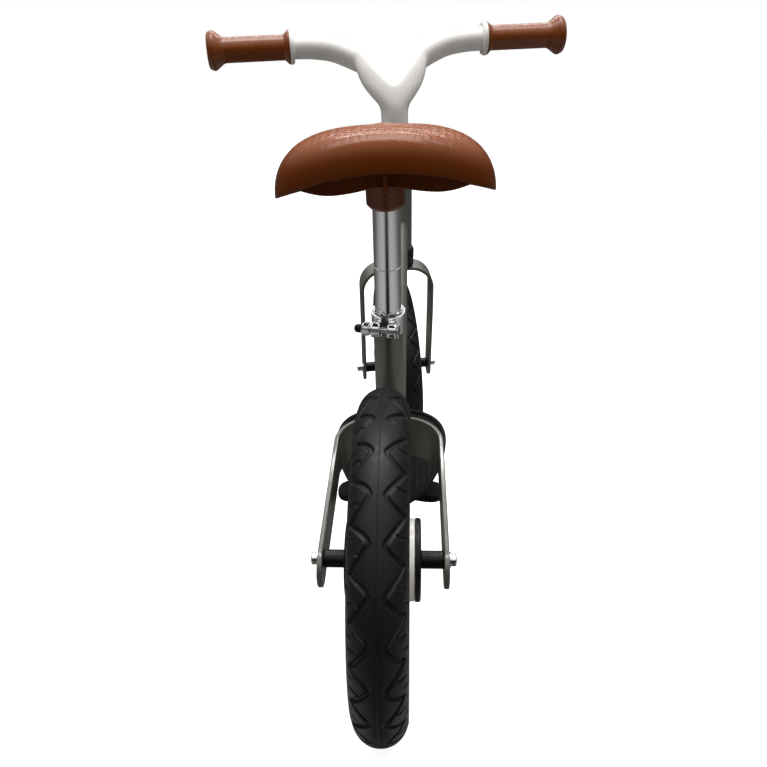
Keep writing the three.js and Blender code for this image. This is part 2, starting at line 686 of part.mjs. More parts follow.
function headFrame() {
  return group(
    piece('head_tube', headTube(), PAINT),
    piece('lower_headset_cup', lowerCup(), BLACK),
    piece('upper_headset_cup', upperCup(), BLACK),
  );
}

function steering() {
  const frontAxle = group(axleSet('front', FRONT_HALF - STRIP, FRONT_HALF), wheel('front'));
  frontAxle.position.set(0, FORK_RAKE, -FRONT_DROP);
  return group(
    piece('front_fork', frontFork(), PAINT),
    piece('steerer_tube', drilledSteerer(), STEEL),
    piece('crown_race', crownRace(), BLACK),
    piece('headset_lock_ring', lockRing(), BLACK),
    piece('handlebar', handlebar(), WHITE),
    piece('stem_bolt', stemBolt(), STEEL),
    piece('grip_left', grip(-1), BROWN),
    piece('grip_right', grip(1), BROWN),
    frontAxle,
  );
}

function clamp() {
  const parts = group(
    piece('seat_clamp', seatClamp(), CHROME),
    piece('clamp_bolt', clampBolt(), STEEL),
    piece('clamp_nut', clampNut(), CHROME),
    piece('clamp_nut_cap', clampNutCap(), BLACK),
  );
  parts.rotation.set(HEAD_TILT, 0, CLAMP_TURN);
  parts.position.set(0, SEAT_AXIS.y, SEAT_AXIS.z);
  return parts;
}

// The saddle stands turned slightly about its post.
function seat() {
  const parts = group(
    piece('seat_post', seatPost(), CHROME),
    piece('saddle_shell', saddleShell(), BROWN),
    piece('saddle_socket', saddleSocket(), BROWN),
  );
  parts.position.set(0, -SEAT_AXIS.y, -SEAT_AXIS.z);
  const untilted = group(parts);
  untilted.rotation.x = -HEAD_TILT;
  const turned = group(untilted);
  turned.rotation.z = SEAT_TURN;
  const tilted = group(turned);
  tilted.rotation.x = HEAD_TILT;
  tilted.position.set(0, SEAT_AXIS.y, SEAT_AXIS.z);
  return tilted;
}

function balanceBike() {
  const rearWheel = wheel('rear');
  rearWheel.position.z = WHEEL_RADIUS;
  const steered = steering();
  steered.rotation.z = STEER_REST;
  const head = group(headFrame(), steered);
  head.rotation.x = HEAD_TILT;
  head.position.set(0, HEAD_FOOT.y, HEAD_FOOT.z);
  const bike = group(frame(), rearWheel, head, clamp(), seat());
  bike.position.set(REFERENCE.x, REFERENCE.y, REFERENCE.z);
  return bike;
}

export default balanceBike();
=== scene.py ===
"""Looks of the balance bike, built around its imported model.  Shapes are drawn in millimetres in local
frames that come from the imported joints, and every piece is placed in metres in the row frame."""
import json
import math

import bmesh
import bpy
import numpy as np
from mathutils import Matrix, Vector

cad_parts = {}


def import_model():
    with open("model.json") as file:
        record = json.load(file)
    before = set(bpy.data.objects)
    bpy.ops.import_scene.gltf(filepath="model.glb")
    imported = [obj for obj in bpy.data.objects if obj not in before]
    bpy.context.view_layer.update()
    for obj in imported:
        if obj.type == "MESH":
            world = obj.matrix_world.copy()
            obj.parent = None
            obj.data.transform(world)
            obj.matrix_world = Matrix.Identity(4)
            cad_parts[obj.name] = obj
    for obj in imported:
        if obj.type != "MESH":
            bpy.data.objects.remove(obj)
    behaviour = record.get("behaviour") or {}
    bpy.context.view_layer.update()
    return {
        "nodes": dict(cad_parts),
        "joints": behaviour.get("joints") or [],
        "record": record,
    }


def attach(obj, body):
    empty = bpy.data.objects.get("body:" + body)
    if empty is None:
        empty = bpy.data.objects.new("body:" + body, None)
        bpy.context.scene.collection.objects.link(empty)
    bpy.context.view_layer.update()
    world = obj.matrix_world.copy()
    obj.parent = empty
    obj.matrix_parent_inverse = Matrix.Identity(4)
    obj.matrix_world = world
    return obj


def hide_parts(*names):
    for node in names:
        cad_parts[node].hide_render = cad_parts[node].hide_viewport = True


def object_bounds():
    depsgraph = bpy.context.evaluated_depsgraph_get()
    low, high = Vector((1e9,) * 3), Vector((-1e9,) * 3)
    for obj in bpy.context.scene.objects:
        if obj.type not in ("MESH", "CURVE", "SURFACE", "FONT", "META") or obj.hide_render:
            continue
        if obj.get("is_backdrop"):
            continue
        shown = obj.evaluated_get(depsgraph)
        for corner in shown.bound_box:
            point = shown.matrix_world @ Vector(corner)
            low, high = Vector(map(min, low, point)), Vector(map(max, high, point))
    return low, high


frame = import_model()

MM = 0.001
TAU = 2 * math.pi

# ---- driving dimensions, in millimetres ------------------------------------------------------
WHEEL_RADIUS = 142
TYRE_HALF = 21.5
TYRE_BORE = 111
TREAD_REPEATS = 26
BOSS_RADIUS, BOSS_HALF, CAP_HALF = 34, 25.7, 30.6
AXLE_HALF, AXLE_RADIUS = 58.5, 4
STRIP = 4.5
REAR_HALF, REAR_CROWN, REAR_CORNER = 54, 185, 40
FRONT_HALF, FRONT_CORNER, FRONT_DROP, CROWN_TOP = 51.6, 34, 169, 7.5
HEAD_RADIUS, HEAD_BOTTOM, HEAD_TOP = 21.8, 34.4, 140
RACE_RADIUS, STEERER_RADIUS = 24.6, 14.3
MAIN_RADIUS, MAIN_REAR, MAIN_FRONT = 16.5, (0, 186, 178), (0, 486, 362.5)
SEAT_TUBE_RADIUS, POST_RADIUS, POST_SHOWN, POST_INSIDE = 13.9, 12.4, 104, 52
BAR_HEIGHT, BAR_FORWARD, BAR_HALF, GRIP_LENGTH = 285.5, 50, 222, 100
ARM_RADIUS, NECK_RADIUS, FLANGE_RADIUS, KNOB_RADIUS, GRIP_RADIUS = 14.3, 17, 20, 23, 14.6
CLAMP_BOLT = (-20.5, -9.5)


# ---- places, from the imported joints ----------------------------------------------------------
def joint(name):
    return next(j for j in frame["joints"] if j["name"] == name)


def placed(origin, x, y, z):
    """A frame with the given axes: local millimetres to the row frame's metres."""
    turn = Matrix((x, y, z)).transposed().to_4x4()
    return Matrix.Translation(origin) @ turn @ Matrix.Scale(MM, 4)


def about(point, angle, axis):
    """A turn about an axis through a point."""
    return Matrix.Translation(point) @ Matrix.Rotation(angle, 4, axis) @ Matrix.Translation(-point)


ACROSS, AHEAD, UP = Vector((1, 0, 0)), Vector((0, 1, 0)), Vector((0, 0, 1))
REAR_AXLE = Vector(joint("rear_wheel_spin")["pos_m"])
HEAD_FOOT = Vector(joint("steering_turn")["pos_m"])
STEER_UP = Vector(joint("steering_turn")["axis"]).normalized()
FRONT_AXLE = Vector(joint("front_wheel_spin")["pos_m"])
FRONT_ACROSS = Vector(joint("front_wheel_spin")["axis"]).normalized()
CLAMP_ACROSS = -Vector(joint("clamp_nut_turn")["axis"]).normalized()
NUT_POINT = Vector(joint("clamp_nut_turn")["pos_m"])
HEAD_TILT = STEER_UP.angle(UP)
NUT_OFFSET = -17
SEAT_TURN = math.radians(2)
LEAN, LEAN_SHIFT, LEAN_CENTRE = math.radians(-1.2), Vector((-1, 0, 0)), Vector((0, 0, 450))

BIKE = placed(Vector((REAR_AXLE.x, REAR_AXLE.y, 0)), ACROSS, AHEAD, UP)
REAR_WHEEL = placed(REAR_AXLE, ACROSS, AHEAD, UP)
HEAD = placed(HEAD_FOOT, ACROSS, STEER_UP.cross(ACROSS), STEER_UP)
STEER = placed(HEAD_FOOT, FRONT_ACROSS, STEER_UP.cross(FRONT_ACROSS), STEER_UP)
FRONT_WHEEL = placed(FRONT_AXLE, FRONT_ACROSS, STEER_UP.cross(FRONT_ACROSS), STEER_UP)
CLAMP_AHEAD = STEER_UP.cross(CLAMP_ACROSS)
SEAT_TOP = NUT_POINT - MM * (NUT_OFFSET * CLAMP_ACROSS + CLAMP_BOLT[0] * CLAMP_AHEAD
                             + CLAMP_BOLT[1] * STEER_UP)
CLAMP = placed(SEAT_TOP, CLAMP_ACROSS, CLAMP_AHEAD, STEER_UP)
TUBE = placed(SEAT_TOP, ACROSS, STEER_UP.cross(ACROSS), STEER_UP)
POST = about(SEAT_TOP, SEAT_TURN, STEER_UP) @ TUBE
SADDLE = (about(SEAT_TOP, SEAT_TURN, STEER_UP) @ BIKE @ Matrix.Translation(LEAN_SHIFT)
          @ about(LEAN_CENTRE, LEAN, "Y"))

# Points and directions in the bike's millimetres.
SEAT_FOOT, HEAD_START = BIKE.inverted() @ SEAT_TOP, BIKE.inverted() @ HEAD_FOOT
TUBE_WAY = Vector((0, -math.sin(HEAD_TILT), math.cos(HEAD_TILT)))
MAIN_WAY = (Vector(MAIN_FRONT) - Vector(MAIN_REAR)).normalized()


# ---- materials -------------------------------------------------------------------------------
def new_material(name, color, roughness, **sockets):
    material = bpy.data.materials.new(name)
    material.use_nodes = True
    inputs = shaded(material)
    inputs["Base Color"].default_value = (*color, 1)
    inputs["Roughness"].default_value = roughness
    for socket, value in sockets.items():
        inputs[socket.replace("_", " ")].default_value = value
    return material


def shaded(material):
    return material.node_tree.nodes["Principled BSDF"].inputs


def link(owner, source, target):
    owner.node_tree.links.new(source, target)


def wired(owner, kind, inputs, output=0, **settings):
    """An output of a new node, whose inputs are plain values or other nodes' outputs."""
    made = owner.node_tree.nodes.new(kind)
    for key, value in settings.items():
        setattr(made, key, value)
    for name, value in inputs.items():
        if isinstance(value, bpy.types.NodeSocket):
            link(owner, value, made.inputs[name])
        else:
            made.inputs[name].default_value = value
    return made.outputs[output]


def calculated(owner, operation, *values):
    return wired(owner, "ShaderNodeMath", dict(enumerate(values)), operation=operation)


def spread(owner, source, low, high, start=0.3, end=0.7, shape="LINEAR"):
    """Maps a pattern between start and end to a range of numbers."""
    ends = {"From Min": start, "From Max": end, "To Min": low, "To Max": high}
    return wired(owner, "ShaderNodeMapRange", {"Value": source, **ends}, "Result",
                 interpolation_type=shape)


def noise(material, scale, detail=3.0, roughness=0.5, output="Fac"):
    """Noise in the row frame's own metres, so that its grain keeps its real size."""
    place = wired(material, "ShaderNodeTexCoord", {}, "Object")
    inputs = {"Vector": place, "Scale": scale, "Detail": detail, "Roughness": roughness}
    return wired(material, "ShaderNodeTexNoise", inputs, output)


def ramp(material, source, stops):
    """A colour between the stops, each a position and a colour."""
    color = wired(material, "ShaderNodeValToRGB", {"Fac": source}, "Color")
    elements = color.node.color_ramp.elements
    while len(elements) < len(stops):
        elements.new(0.5)
    for element, (position, tone) in zip(elements, stops):
        element.position = position
        element.color = (*tone, 1)
    return color


def bump(material, source, distance, strength):
    """Fine relief, on top of any that the material has."""
    normal = shaded(material)["Normal"]
    inputs = {"Height": source, "Distance": distance, "Strength": strength}
    if normal.is_linked:
        inputs["Normal"] = normal.links[0].from_socket
    link(material, wired(material, "ShaderNodeBump", inputs, "Normal"), normal)


def grained(name, color, roughness, dullness, relief, tint=None, **sockets):
    """A material with noise in its dullness, relief and tint, each led by its noise's settings.
    Then dullness has a low and a high, relief a depth and a strength, and tint its colour stops."""
    made = new_material(name, color, roughness, **sockets)
    if tint:
        grain, *stops = tint
        link(made, ramp(made, noise(made, *grain), stops), shaded(made)["Base Color"])
    grain, low, high = dullness
    link(made, spread(made, noise(made, *grain), low, high), shaded(made)["Roughness"])
    grain, depth, strength = relief
    bump(made, noise(made, *grain), depth, strength)
    return made


def black_plastic(name, dullest, specular):
    return grained(name, (0.005, 0.005, 0.0055), dullest - 0.06, ((500,), dullest - 0.12, dullest),
                   ((1800, 3), 0.00006, 0.4),
                   ((90, 4), (0.3, (0.004, 0.004, 0.0045)), (0.7, (0.0065, 0.0065, 0.007))),
                   Specular_IOR_Level=specular)


def brown_plastic(name, specular):
    return grained(name, (0.19, 0.043, 0.005), 0.3, ((200, 1), 0.25, 0.31), ((700, 1), 0.00004, 0.2),
                   ((35, 2), (0.3, (0.175, 0.040, 0.0045)), (0.7, (0.205, 0.048, 0.006))),
                   Specular_IOR_Level=specular)


def embossed_plastic():
    """The brown plastic with a woven emboss on the seat's top, plain down its skirt, and painted light:
    its colour runs from dark down the skirt to pale on top, as if lit from above.
    """
    made = brown_plastic("brown_plastic_embossed", 0.17)
    place = wired(made, "ShaderNodeTexCoord", {}, "Object")
    wander = noise(made, 90, 2, output="Color")
    shifted = wired(made, "ShaderNodeVectorMath", {0: wander, 1: (0.003, 0.003, 0.0), 2: place},
                    operation="MULTIPLY_ADD")
    across, along, height = wired(made, "ShaderNodeSeparateXYZ", {0: shifted}).node.outputs
    # Painted light: by height, the seat is coloured darker low on its skirt and paler on its top.
    painted_light = spread(made, height, 0.0, 1.0, *PAINTED_LIGHT_SPAN)
    speckled = calculated(made, "MULTIPLY_ADD", noise(made, 260, 4), 0.16, painted_light)
    tint = ramp(made, speckled, [(0.02, (0.120, 0.024, 0.002)), (0.45, (0.165, 0.036, 0.003)),
                                 (1.0, (0.235, 0.054, 0.005))])
    link(made, tint, shaded(made)["Base Color"])
    waves = []
    for way in (1, -1):
        slant = calculated(made, "MULTIPLY_ADD", across, way, along)
        waves.append(calculated(made, "SINE", calculated(made, "MULTIPLY", slant, TAU / EMBOSS_PITCH)))
    weave = calculated(made, "MULTIPLY", *waves)
    top = spread(made, height, 0.0, 1.0, *EMBOSS_SPAN)
    bump(made, calculated(made, "MULTIPLY", weave, top), 0.0003, 0.8)
    return made


# Heights in metres over which the seat's painted light runs from a shaded skirt to a lit top and its
# emboss sets in, and the emboss's pitch.
PAINTED_LIGHT_SPAN, EMBOSS_SPAN, EMBOSS_PITCH = (0.448, 0.486), (0.464, 0.480), 0.0124

FINISH = {
    "paint": grained("grey_green_paint", (0.105, 0.112, 0.09), 0.3, ((120, 1), 0.29, 0.35),
                     ((350, 0), 0.00002, 0.15),
                     ((60, 2), (0.3, (0.098, 0.104, 0.084)), (0.7, (0.113, 0.12, 0.097))),
                     Metallic=0.1, Coat_Weight=0.6, Coat_Roughness=0.08),
    "chrome": grained("chrome", (0.78, 0.79, 0.80), 0.08, ((120, 4), 0.05, 0.16),
                      ((400, 2), 0.00004, 0.3), Metallic=1.0),
    "steel": grained("zinc_steel", (0.55, 0.56, 0.57), 0.32, ((300, 4), 0.24, 0.42),
                     ((700, 3), 0.00005, 0.4), Metallic=1.0),
    "black_plastic": black_plastic("black_plastic", 0.42, 0.25),
    "tyre_foam": grained("tyre_foam", (0.010, 0.010, 0.011), 0.40, ((260, 4), 0.36, 0.52),
                         ((1400, 4), 0.0001, 0.45),
                         ((45, 6, 0.6), (0.25, (0.007, 0.007, 0.008)), (0.75, (0.013, 0.013, 0.0145))),
                         Specular_IOR_Level=0.2),
    "white_plastic": grained("white_plastic", (0.86, 0.84, 0.81), 0.28, ((320,), 0.24, 0.34),
                             ((1100, 2), 0.00005, 0.35),
                             ((30, 4), (0.3, (0.84, 0.82, 0.79)), (0.7, (0.88, 0.86, 0.83))),
                             Coat_Weight=0.3, Coat_Roughness=0.15),
    "brown_plastic": brown_plastic("brown_plastic", 0.4),
}
SADDLE_FINISH = embossed_plastic()
MATT_BLACK = black_plastic("black_plastic_matt", 0.75, 0.12)


def finish_cad_nodes():
    """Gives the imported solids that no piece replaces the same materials."""
    for part in frame["record"]["subparts"]:
        mesh = frame["nodes"][part["node"]].data
        mesh.materials.clear()
        mesh.materials.append(FINISH[part["material_slot"]])


# ---- meshes ----------------------------------------------------------------------------------
def mesh_of(vertices, faces):
    mesh = bpy.data.meshes.new("work")
    mesh.from_pydata([tuple(v) for v in vertices], [], faces)
    return mesh


def cleaned(mesh, distance=1e-3):
    """Merges doubled points, drops faces with no area and turns every face outwards."""
    work = bmesh.new()
    work.from_mesh(mesh)
    bmesh.ops.remove_doubles(work, verts=work.verts, dist=distance)
    bmesh.ops.dissolve_degenerate(work, edges=work.edges, dist=distance / 2)
    bmesh.ops.delete(work, geom=[e for e in work.edges if not e.link_faces], context="EDGES")
    bmesh.ops.delete(work, geom=[v for v in work.verts if not v.link_edges], context="VERTS")
    bmesh.ops.recalc_face_normals(work, faces=work.faces)
    work.to_mesh(mesh)
    work.free()
    return mesh


def grid_faces(rows, columns, wrap_rows=False, wrap_columns=True):
    faces = []
    for r in range(rows if wrap_rows else rows - 1):
        for c in range(columns if wrap_columns else columns - 1):
            a, b = r * columns + c, r * columns + (c + 1) % columns
            d = (r + 1) % rows * columns
            faces.append((a, b, d + (c + 1) % columns, d + c))
    return faces


def lofted(loops, ring=False):
    """A skin through loops of equal length, closed into a ring or capped at both ends."""
    count = len(loops[0])
    faces = grid_faces(len(loops), count, wrap_rows=ring)
    if not ring:
        faces.append(tuple(range(count)))
        faces.append(tuple(range((len(loops) - 1) * count, len(loops) * count)))
    return cleaned(mesh_of([p for loop in loops for p in loop], faces))


def filleted(corners, steps=5):
    """A closed outline of (x, y, radius) corners, with each corner rounded and held by a close point."""
    out = []
    for i, (x, y, radius) in enumerate(corners):
        here = Vector((x, y))
        if not radius:
            out.append(here)
            continue
        before = (Vector(corners[i - 1][:2]) - here).normalized()
        after = (Vector(corners[(i + 1) % len(corners)][:2]) - here).normalized()
        half = before.angle(after) / 2
        centre = here + (before + after).normalized() * radius / math.sin(half)
        reach = radius / math.tan(half)
        start, end = here + before * reach - centre, here + after * reach - centre
        sweep = start.angle_signed(end)
        out.append(here + before * (reach + 0.2 * radius))
        for k in range(steps + 1):
            turn = Matrix.Rotation(-sweep * k / steps, 2)
            out.append(centre + turn @ start)
        out.append(here + after * (reach + 0.2 * radius))
    return out


def turned(corners, segments=72, steps=5):
    """A body turned about Z from a closed outline of (radius, height, fillet) corners."""
    outline = filleted(corners, steps)
    loops = []
    for i in range(segments):
        angle = TAU * i / segments
        loops.append([(max(r, 0) * math.cos(angle), max(r, 0) * math.sin(angle), h) for r, h in outline])
    return lofted(loops, ring=True)


def moved(mesh, matrix):
    mesh.transform(matrix)
    return mesh


def along_x(mesh, side=1, x=0.0, y=0.0, z=0.0):
    """Lays a body turned about Z along X, to the right or mirrored to the left."""
    turn = Matrix.Rotation(math.pi / 2 * side, 4, "Y")
    return moved(mesh, Matrix.Translation((x, y, z)) @ turn)


def prism(outline, low, high, fillet):
    """A plate in XY from an outline of points, extruded from low to high, with rounded rims."""
    middle = sum((Vector(p) for p in outline), Vector((0, 0))) / len(outline)
    size = max((Vector(p) - middle).length for p in outline)
    loops = []
    for level, way, turns in ((low, 1, range(6)), (high, -1, range(5, -1, -1))):
        for k in turns:
            angle = math.pi / 2 * k / 5
            inset = fillet * (1 - math.sin(angle))
            height = level + way * fillet * (1 - math.cos(angle))
            scale = 1 - inset / size
            loops.append([(*(middle + (Vector(p) - middle) * scale), height) for p in outline])
    return lofted(loops)


def bezier(points, steps=16):
    """A closed outline from chained cubic curves: start, then control, control, end for each."""
    out = []
    for i in range(0, len(points) - 1, 3):
        a, b, c, d = (Vector(p) for p in points[i:i + 4])
        for k in range(steps):
            t = k / steps
            out.append(a * (1 - t) ** 3 + 3 * b * t * (1 - t) ** 2 + 3 * c * t * t * (1 - t) + d * t ** 3)
    return out


def mirrored(half):
    """A closed outline, symmetric about x = 0, from its right half drawn from one end to the other."""
    return [Vector(p) for p in half] + [Vector((-p[0], p[1])) for p in reversed(half[1:-1])]


def block(x0, x1, y0, y1, z0, z1, fillet=0.0):
    mesh = bpy.data.meshes.new("work")
    work = bmesh.new()
    bmesh.ops.create_cube(work, size=1)
    for v in work.verts:
        v.co = ((x0 + x1) / 2 + v.co.x * (x1 - x0), (y0 + y1) / 2 + v.co.y * (y1 - y0),
                (z0 + z1) / 2 + v.co.z * (z1 - z0))
    if fillet:
        bmesh.ops.bevel(work, geom=work.edges, offset=fillet, segments=4, profile=0.5, affect="EDGES")
    work.to_mesh(mesh)
    work.free()
    return mesh


def between(start, end, radius, fillet=0.4, segments=72):
    """A straight bar from one point to another."""
    start, end = Vector(start), Vector(end)
    length = (end - start).length
    bar = turned([(0, 0, 0), (radius, 0, fillet), (radius, length, fillet), (0, length, 0)], segments)
    turn = (end - start).to_track_quat("Z", "Y").to_matrix().to_4x4()
    return moved(bar, Matrix.Translation(start) @ turn)


def combined(base, tools, operation):
    """Exact boolean of one mesh with others, one after another."""
    collection = bpy.context.scene.collection
    for tool in tools:
        holder, helper = bpy.data.objects.new("work", base), bpy.data.objects.new("tool", tool)
        collection.objects.link(holder)
        collection.objects.link(helper)
        modifier = holder.modifiers.new("boolean", "BOOLEAN")
        modifier.operation = operation
        modifier.solver = "EXACT"
        modifier.object = helper
        holder = holder.evaluated_get(bpy.context.evaluated_depsgraph_get())
        base = cleaned(bpy.data.meshes.new_from_object(holder), 2e-4)
        bpy.data.objects.remove(holder.original)
        bpy.data.objects.remove(helper)
    return base


def cut(base, *tools):
    return combined(base, tools, "DIFFERENCE")


def joined(base, *tools):
    return combined(base, tools, "UNION")


def common(base, *tools):
    return combined(base, tools, "INTERSECT")


def bundled(*meshes):
    """Several bodies in one mesh, left as they are."""
    work = bmesh.new()
    for mesh in meshes:
        work.from_mesh(mesh)
    result = bpy.data.meshes.new("work")
    work.to_mesh(result)
    work.free()
    return result


def blended(mesh, voxel, smoothing):
    """One skin over overlapping bodies, with its inside corners softened as in a moulding."""
    holder = bpy.data.objects.new("work", mesh)
    bpy.context.scene.collection.objects.link(holder)
    remesh = holder.modifiers.new("remesh", "REMESH")
    remesh.mode = "VOXEL"
    remesh.voxel_size = voxel
    smooth = holder.modifiers.new("smooth", "SMOOTH")
    smooth.factor = 0.5
    smooth.iterations = smoothing
    result = bpy.data.meshes.new_from_object(holder.evaluated_get(bpy.context.evaluated_depsgraph_get()))
    bpy.data.objects.remove(holder)
    return result


def piece(name, mesh, place, body, slot, nodes=(), sharp=35):
    """Shows a mesh drawn in a local frame: placed, shaded, given its finish, and riding its body."""
    mesh.transform(place)
    mesh.materials.clear()
    mesh.materials.append(FINISH[slot])
    work = bmesh.new()
    work.from_mesh(mesh)
    limit = math.radians(sharp)
    for edge in work.edges:
        edge.smooth = len(edge.link_faces) == 2 and edge.calc_face_angle(0) < limit
    for face in work.faces:
        face.smooth = True
        face.material_index = 0
    work.to_mesh(mesh)
    work.free()
    mesh.name = name
    made = bpy.data.objects.new(name, mesh)
    bpy.context.scene.collection.objects.link(made)
    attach(made, body)
    if nodes:
        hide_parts(*nodes)
    return made


# ---- wheels ----------------------------------------------------------------------------------
TYRE_MIDDLE = WHEEL_RADIUS - TYRE_HALF
TREAD_PITCH = TAU * WHEEL_RADIUS / TREAD_REPEATS
TREAD_START = 0.527
APEX, CORNER = 5.6, 22.5


def tread_lines():
    """Grooves of one side over one repeat: along and across in millimetres, half width and depth."""
    lower = [(0.60 * TREAD_PITCH * k / 12, APEX + (CORNER - APEX) * (k / 12) ** 1.08) for k in range(13)]
    upper = [(-0.40 * TREAD_PITCH * k / 12, APEX + (CORNER - APEX) * (k / 12) ** 1.75) for k in range(13)]
    hook = [(0.20 * TREAD_PITCH, 14.2), (0.155 * TREAD_PITCH, 17.5), (0.17 * TREAD_PITCH, 23.5)]
    wing = [(-0.12 * TREAD_PITCH, 21.5), (-0.18 * TREAD_PITCH, 28.5)]
    return [(lower, 1.7, 1.9), (upper, 1.7, 1.9), (hook, 0.85, 1.1), (wing, 0.8, 0.9)]


def tread_depth(along, across):
    """Depth of the tread along and across the crown; its left side is the right one turned round."""
    depth = np.zeros_like(along)
    run = np.where(across < 0, along, -along)
    reach = np.abs(across)
    for points, half_width, deep in tread_lines():
        nearest = np.full(along.shape, 99.0)
        for (a0, s0), (a1, s1) in zip(points, points[1:]):
            for turn in (-1, 0, 1):
                da, ds = a1 - a0, s1 - s0
                ra, rs = run - a0 - turn * TREAD_PITCH, reach - s0
                t = np.clip((ra * da + rs * ds) / (da * da + ds * ds), 0, 1)
                nearest = np.minimum(nearest, np.hypot(ra - t * da, rs - t * ds))
        wall = np.clip((half_width - nearest) / 0.75 + 0.35, 0, 1)
        depth = np.maximum(depth, deep * wall * wall * (3 - 2 * wall))
    parting = np.clip(1.2 - np.abs(across) / 0.35, 0, 1) * (0.35 + 0.2 * np.sin(along * 1.7))
    return np.maximum(depth, parting)


def tyre():
    """Foam tyre, its tread cut into the crown by formula."""
    fine = np.concatenate([[0, 0.28, 0.6, 1.0, 1.6], np.arange(2.3, 25, 0.58), np.arange(25.6, 34, 1.1)])
    arcs = np.concatenate([-fine[:0:-1], fine])
    steps = 34
    turns = TREAD_REPEATS * steps
    phase = (np.arange(turns) + TREAD_START * steps) / turns
    alongs, crossings = np.meshgrid(np.arange(steps) / steps * TREAD_PITCH, arcs, indexing="ij")
    offsets = np.tile(crossings, (TREAD_REPEATS, 1))
    tread = np.tile(tread_depth(alongs, crossings), (TREAD_REPEATS, 1))
    bead = 0.35 * np.exp(-((np.abs(offsets) - 30.2) / 0.5) ** 2)
    lift = bead - tread
    tilt = offsets / TYRE_HALF
    radius = TYRE_MIDDLE + (TYRE_HALF + lift) * np.cos(tilt)
    across = (TYRE_HALF + lift) * np.sin(tilt)
    spin = TAU * np.broadcast_to(phase[:, None], radius.shape)
    crown = np.stack([across, radius * np.cos(spin), radius * np.sin(spin)], axis=2)
    sides = []
    half = ((20.9, 116.6), (19.6, 114.0), (17.2, 112.0), (15.6, 111.2), (14.6, TYRE_BORE))
    for x, r in half + tuple((-x, r) for x, r in reversed(half)):
        around = [r * np.cos(TAU * phase), r * np.sin(TAU * phase)]
        sides.append(np.stack([np.full(turns, x), *around], axis=1))
    grid = np.concatenate([crown, np.stack(sides, axis=1)], axis=1)
    rows, columns = grid.shape[:2]
    mesh = mesh_of(grid.reshape(-1, 3), grid_faces(rows, columns, wrap_rows=True))
    return cleaned(mesh, 1e-4)


def spoke(angle):
    """One spoke, wide at both ends, with rounded edges."""
    loops = []
    for k in range(15):
        t = k / 14
        radial = 24 + 77 * t
        half = 8.5 + 9 * (2 * t - 1) ** 2 - 2 * (1 - t)
        outline = filleted([(-8, -half, 3), (8, -half, 3), (8, half, 3), (-8, half, 3)], 4)
        loops.append([(x, y, radial) for x, y in outline])
    return moved(lofted(loops), Matrix.Rotation(angle, 4, "X"))


def wheel_moulding():
    rim = along_x(turned([(98, -13, 2.5), (103, -14, 1), (TYRE_BORE - 0.2, -14, 0.6),
                          (TYRE_BORE - 0.2, 14, 0.6), (103, 14, 1), (98, 13, 2.5), (95.5, 0, 6)], 144))
    boss = along_x(turned([(6, -BOSS_HALF, 0.5), (BOSS_RADIUS - 0.6, -BOSS_HALF, 1.2), (BOSS_RADIUS, 0, 0),
                           (BOSS_RADIUS - 0.6, BOSS_HALF, 1.2), (6, BOSS_HALF, 0.5)], 96))
    return joined(rim, boss, *[spoke(TAU * i / 5) for i in range(5)])


def hub_cap(side):
    """Black disc with a rounded rim, a shallow ring groove and a raised middle."""
    inner, outer = BOSS_HALF + 0.1, CAP_HALF
    outline = [(5, inner, 0), (BOSS_RADIUS, inner, 0.4), (BOSS_RADIUS, outer, 2.2), (27, outer, 0.4),
               (26, outer - 0.9, 0.3), (17, outer - 0.9, 0.3), (16, outer, 0.4), (5, outer, 0.4)]
    return along_x(turned(outline, 96), side)


def wheel(end, place):
    body = f"{end}_wheel"
    piece(f"{end}_tyre_tread", tyre(), place, body, "tyre_foam", [f"{end}_tyre"], 60)
    piece(f"{end}_wheel_moulding", wheel_moulding(), place, body, "white_plastic", [f"{end}_wheel"])
    for side, word in ((-1, "left"), (1, "right")):
        cap = f"{end}_hub_cap_{word}"
        piece(f"{cap}_disc", hub_cap(side), place, body, "black_plastic", [cap])


def axle_set(end, place, body, inner, outer):
    """Spacer tubes inside the fork legs and cap nuts outside them."""
    for side, word in ((-1, "left"), (1, "right")):
        low, high = CAP_HALF + 0.2, inner - 0.1
        spacer = turned([(4.2, low, 0.3), (7.4, low, 0.7), (7.4, high, 0.7), (4.2, high, 0.3)], 48)
        nut = turned([(0, outer + 0.1, 0), (6.4, outer + 0.1, 0.3), (6.4, outer + 1.3, 0.3),
                      (5.2, outer + 1.4, 0.1), (5.2, AXLE_HALF + 1.4, 1.0), (0, AXLE_HALF + 2, 0)], 48)
        key = turned([(0, AXLE_HALF - 2.5, 0), (2.5, AXLE_HALF - 2.5, 0), (2.5, AXLE_HALF + 4, 0),
                      (0, AXLE_HALF + 4, 0)], 6)
        spacer_name, nut_name = f"{end}_spacer_{word}", f"{end}_axle_nut_{word}"
        piece(f"{spacer_name}_tube", along_x(spacer, side), place, body, "black_plastic", [spacer_name])
        piece(f"{nut_name}_cap", along_x(cut(nut, key), side), place, body, "chrome", [nut_name])


# ---- forks -----------------------------------------------------------------------------------
TAPER_TOP, FRONT_TIP = -60, -FRONT_DROP - 5


def bent_strip(half, crown, corner, edges, leg_stops):
    """Flat steel bent to a U: stations go up the left leg, across the crown and down the right leg."""
    stations = [(-half, y, 1, 0) for y in leg_stops]
    for centre, first in ((corner - half, math.pi), (half - corner, math.pi / 2)):
        for k in range(13):
            angle = first - math.pi / 2 * k / 12
            across, along = math.cos(angle), math.sin(angle)
            stations.append((centre + corner * across, crown - corner + corner * along, -across, -along))
    stations += [(half, y, -1, 0) for y in reversed(leg_stops)]
    loops = []
    for x, y, in_x, in_y in stations:
        low, high = edges(y)
        soft = min(1.2, (high - low) * 0.4)
        section = filleted([(0, low, soft), (STRIP, low, soft), (STRIP, high, soft), (0, high, soft)], 4)
        loops.append([(x + in_x * depth, y + in_y * depth, w) for depth, w in section])
    return lofted(loops)


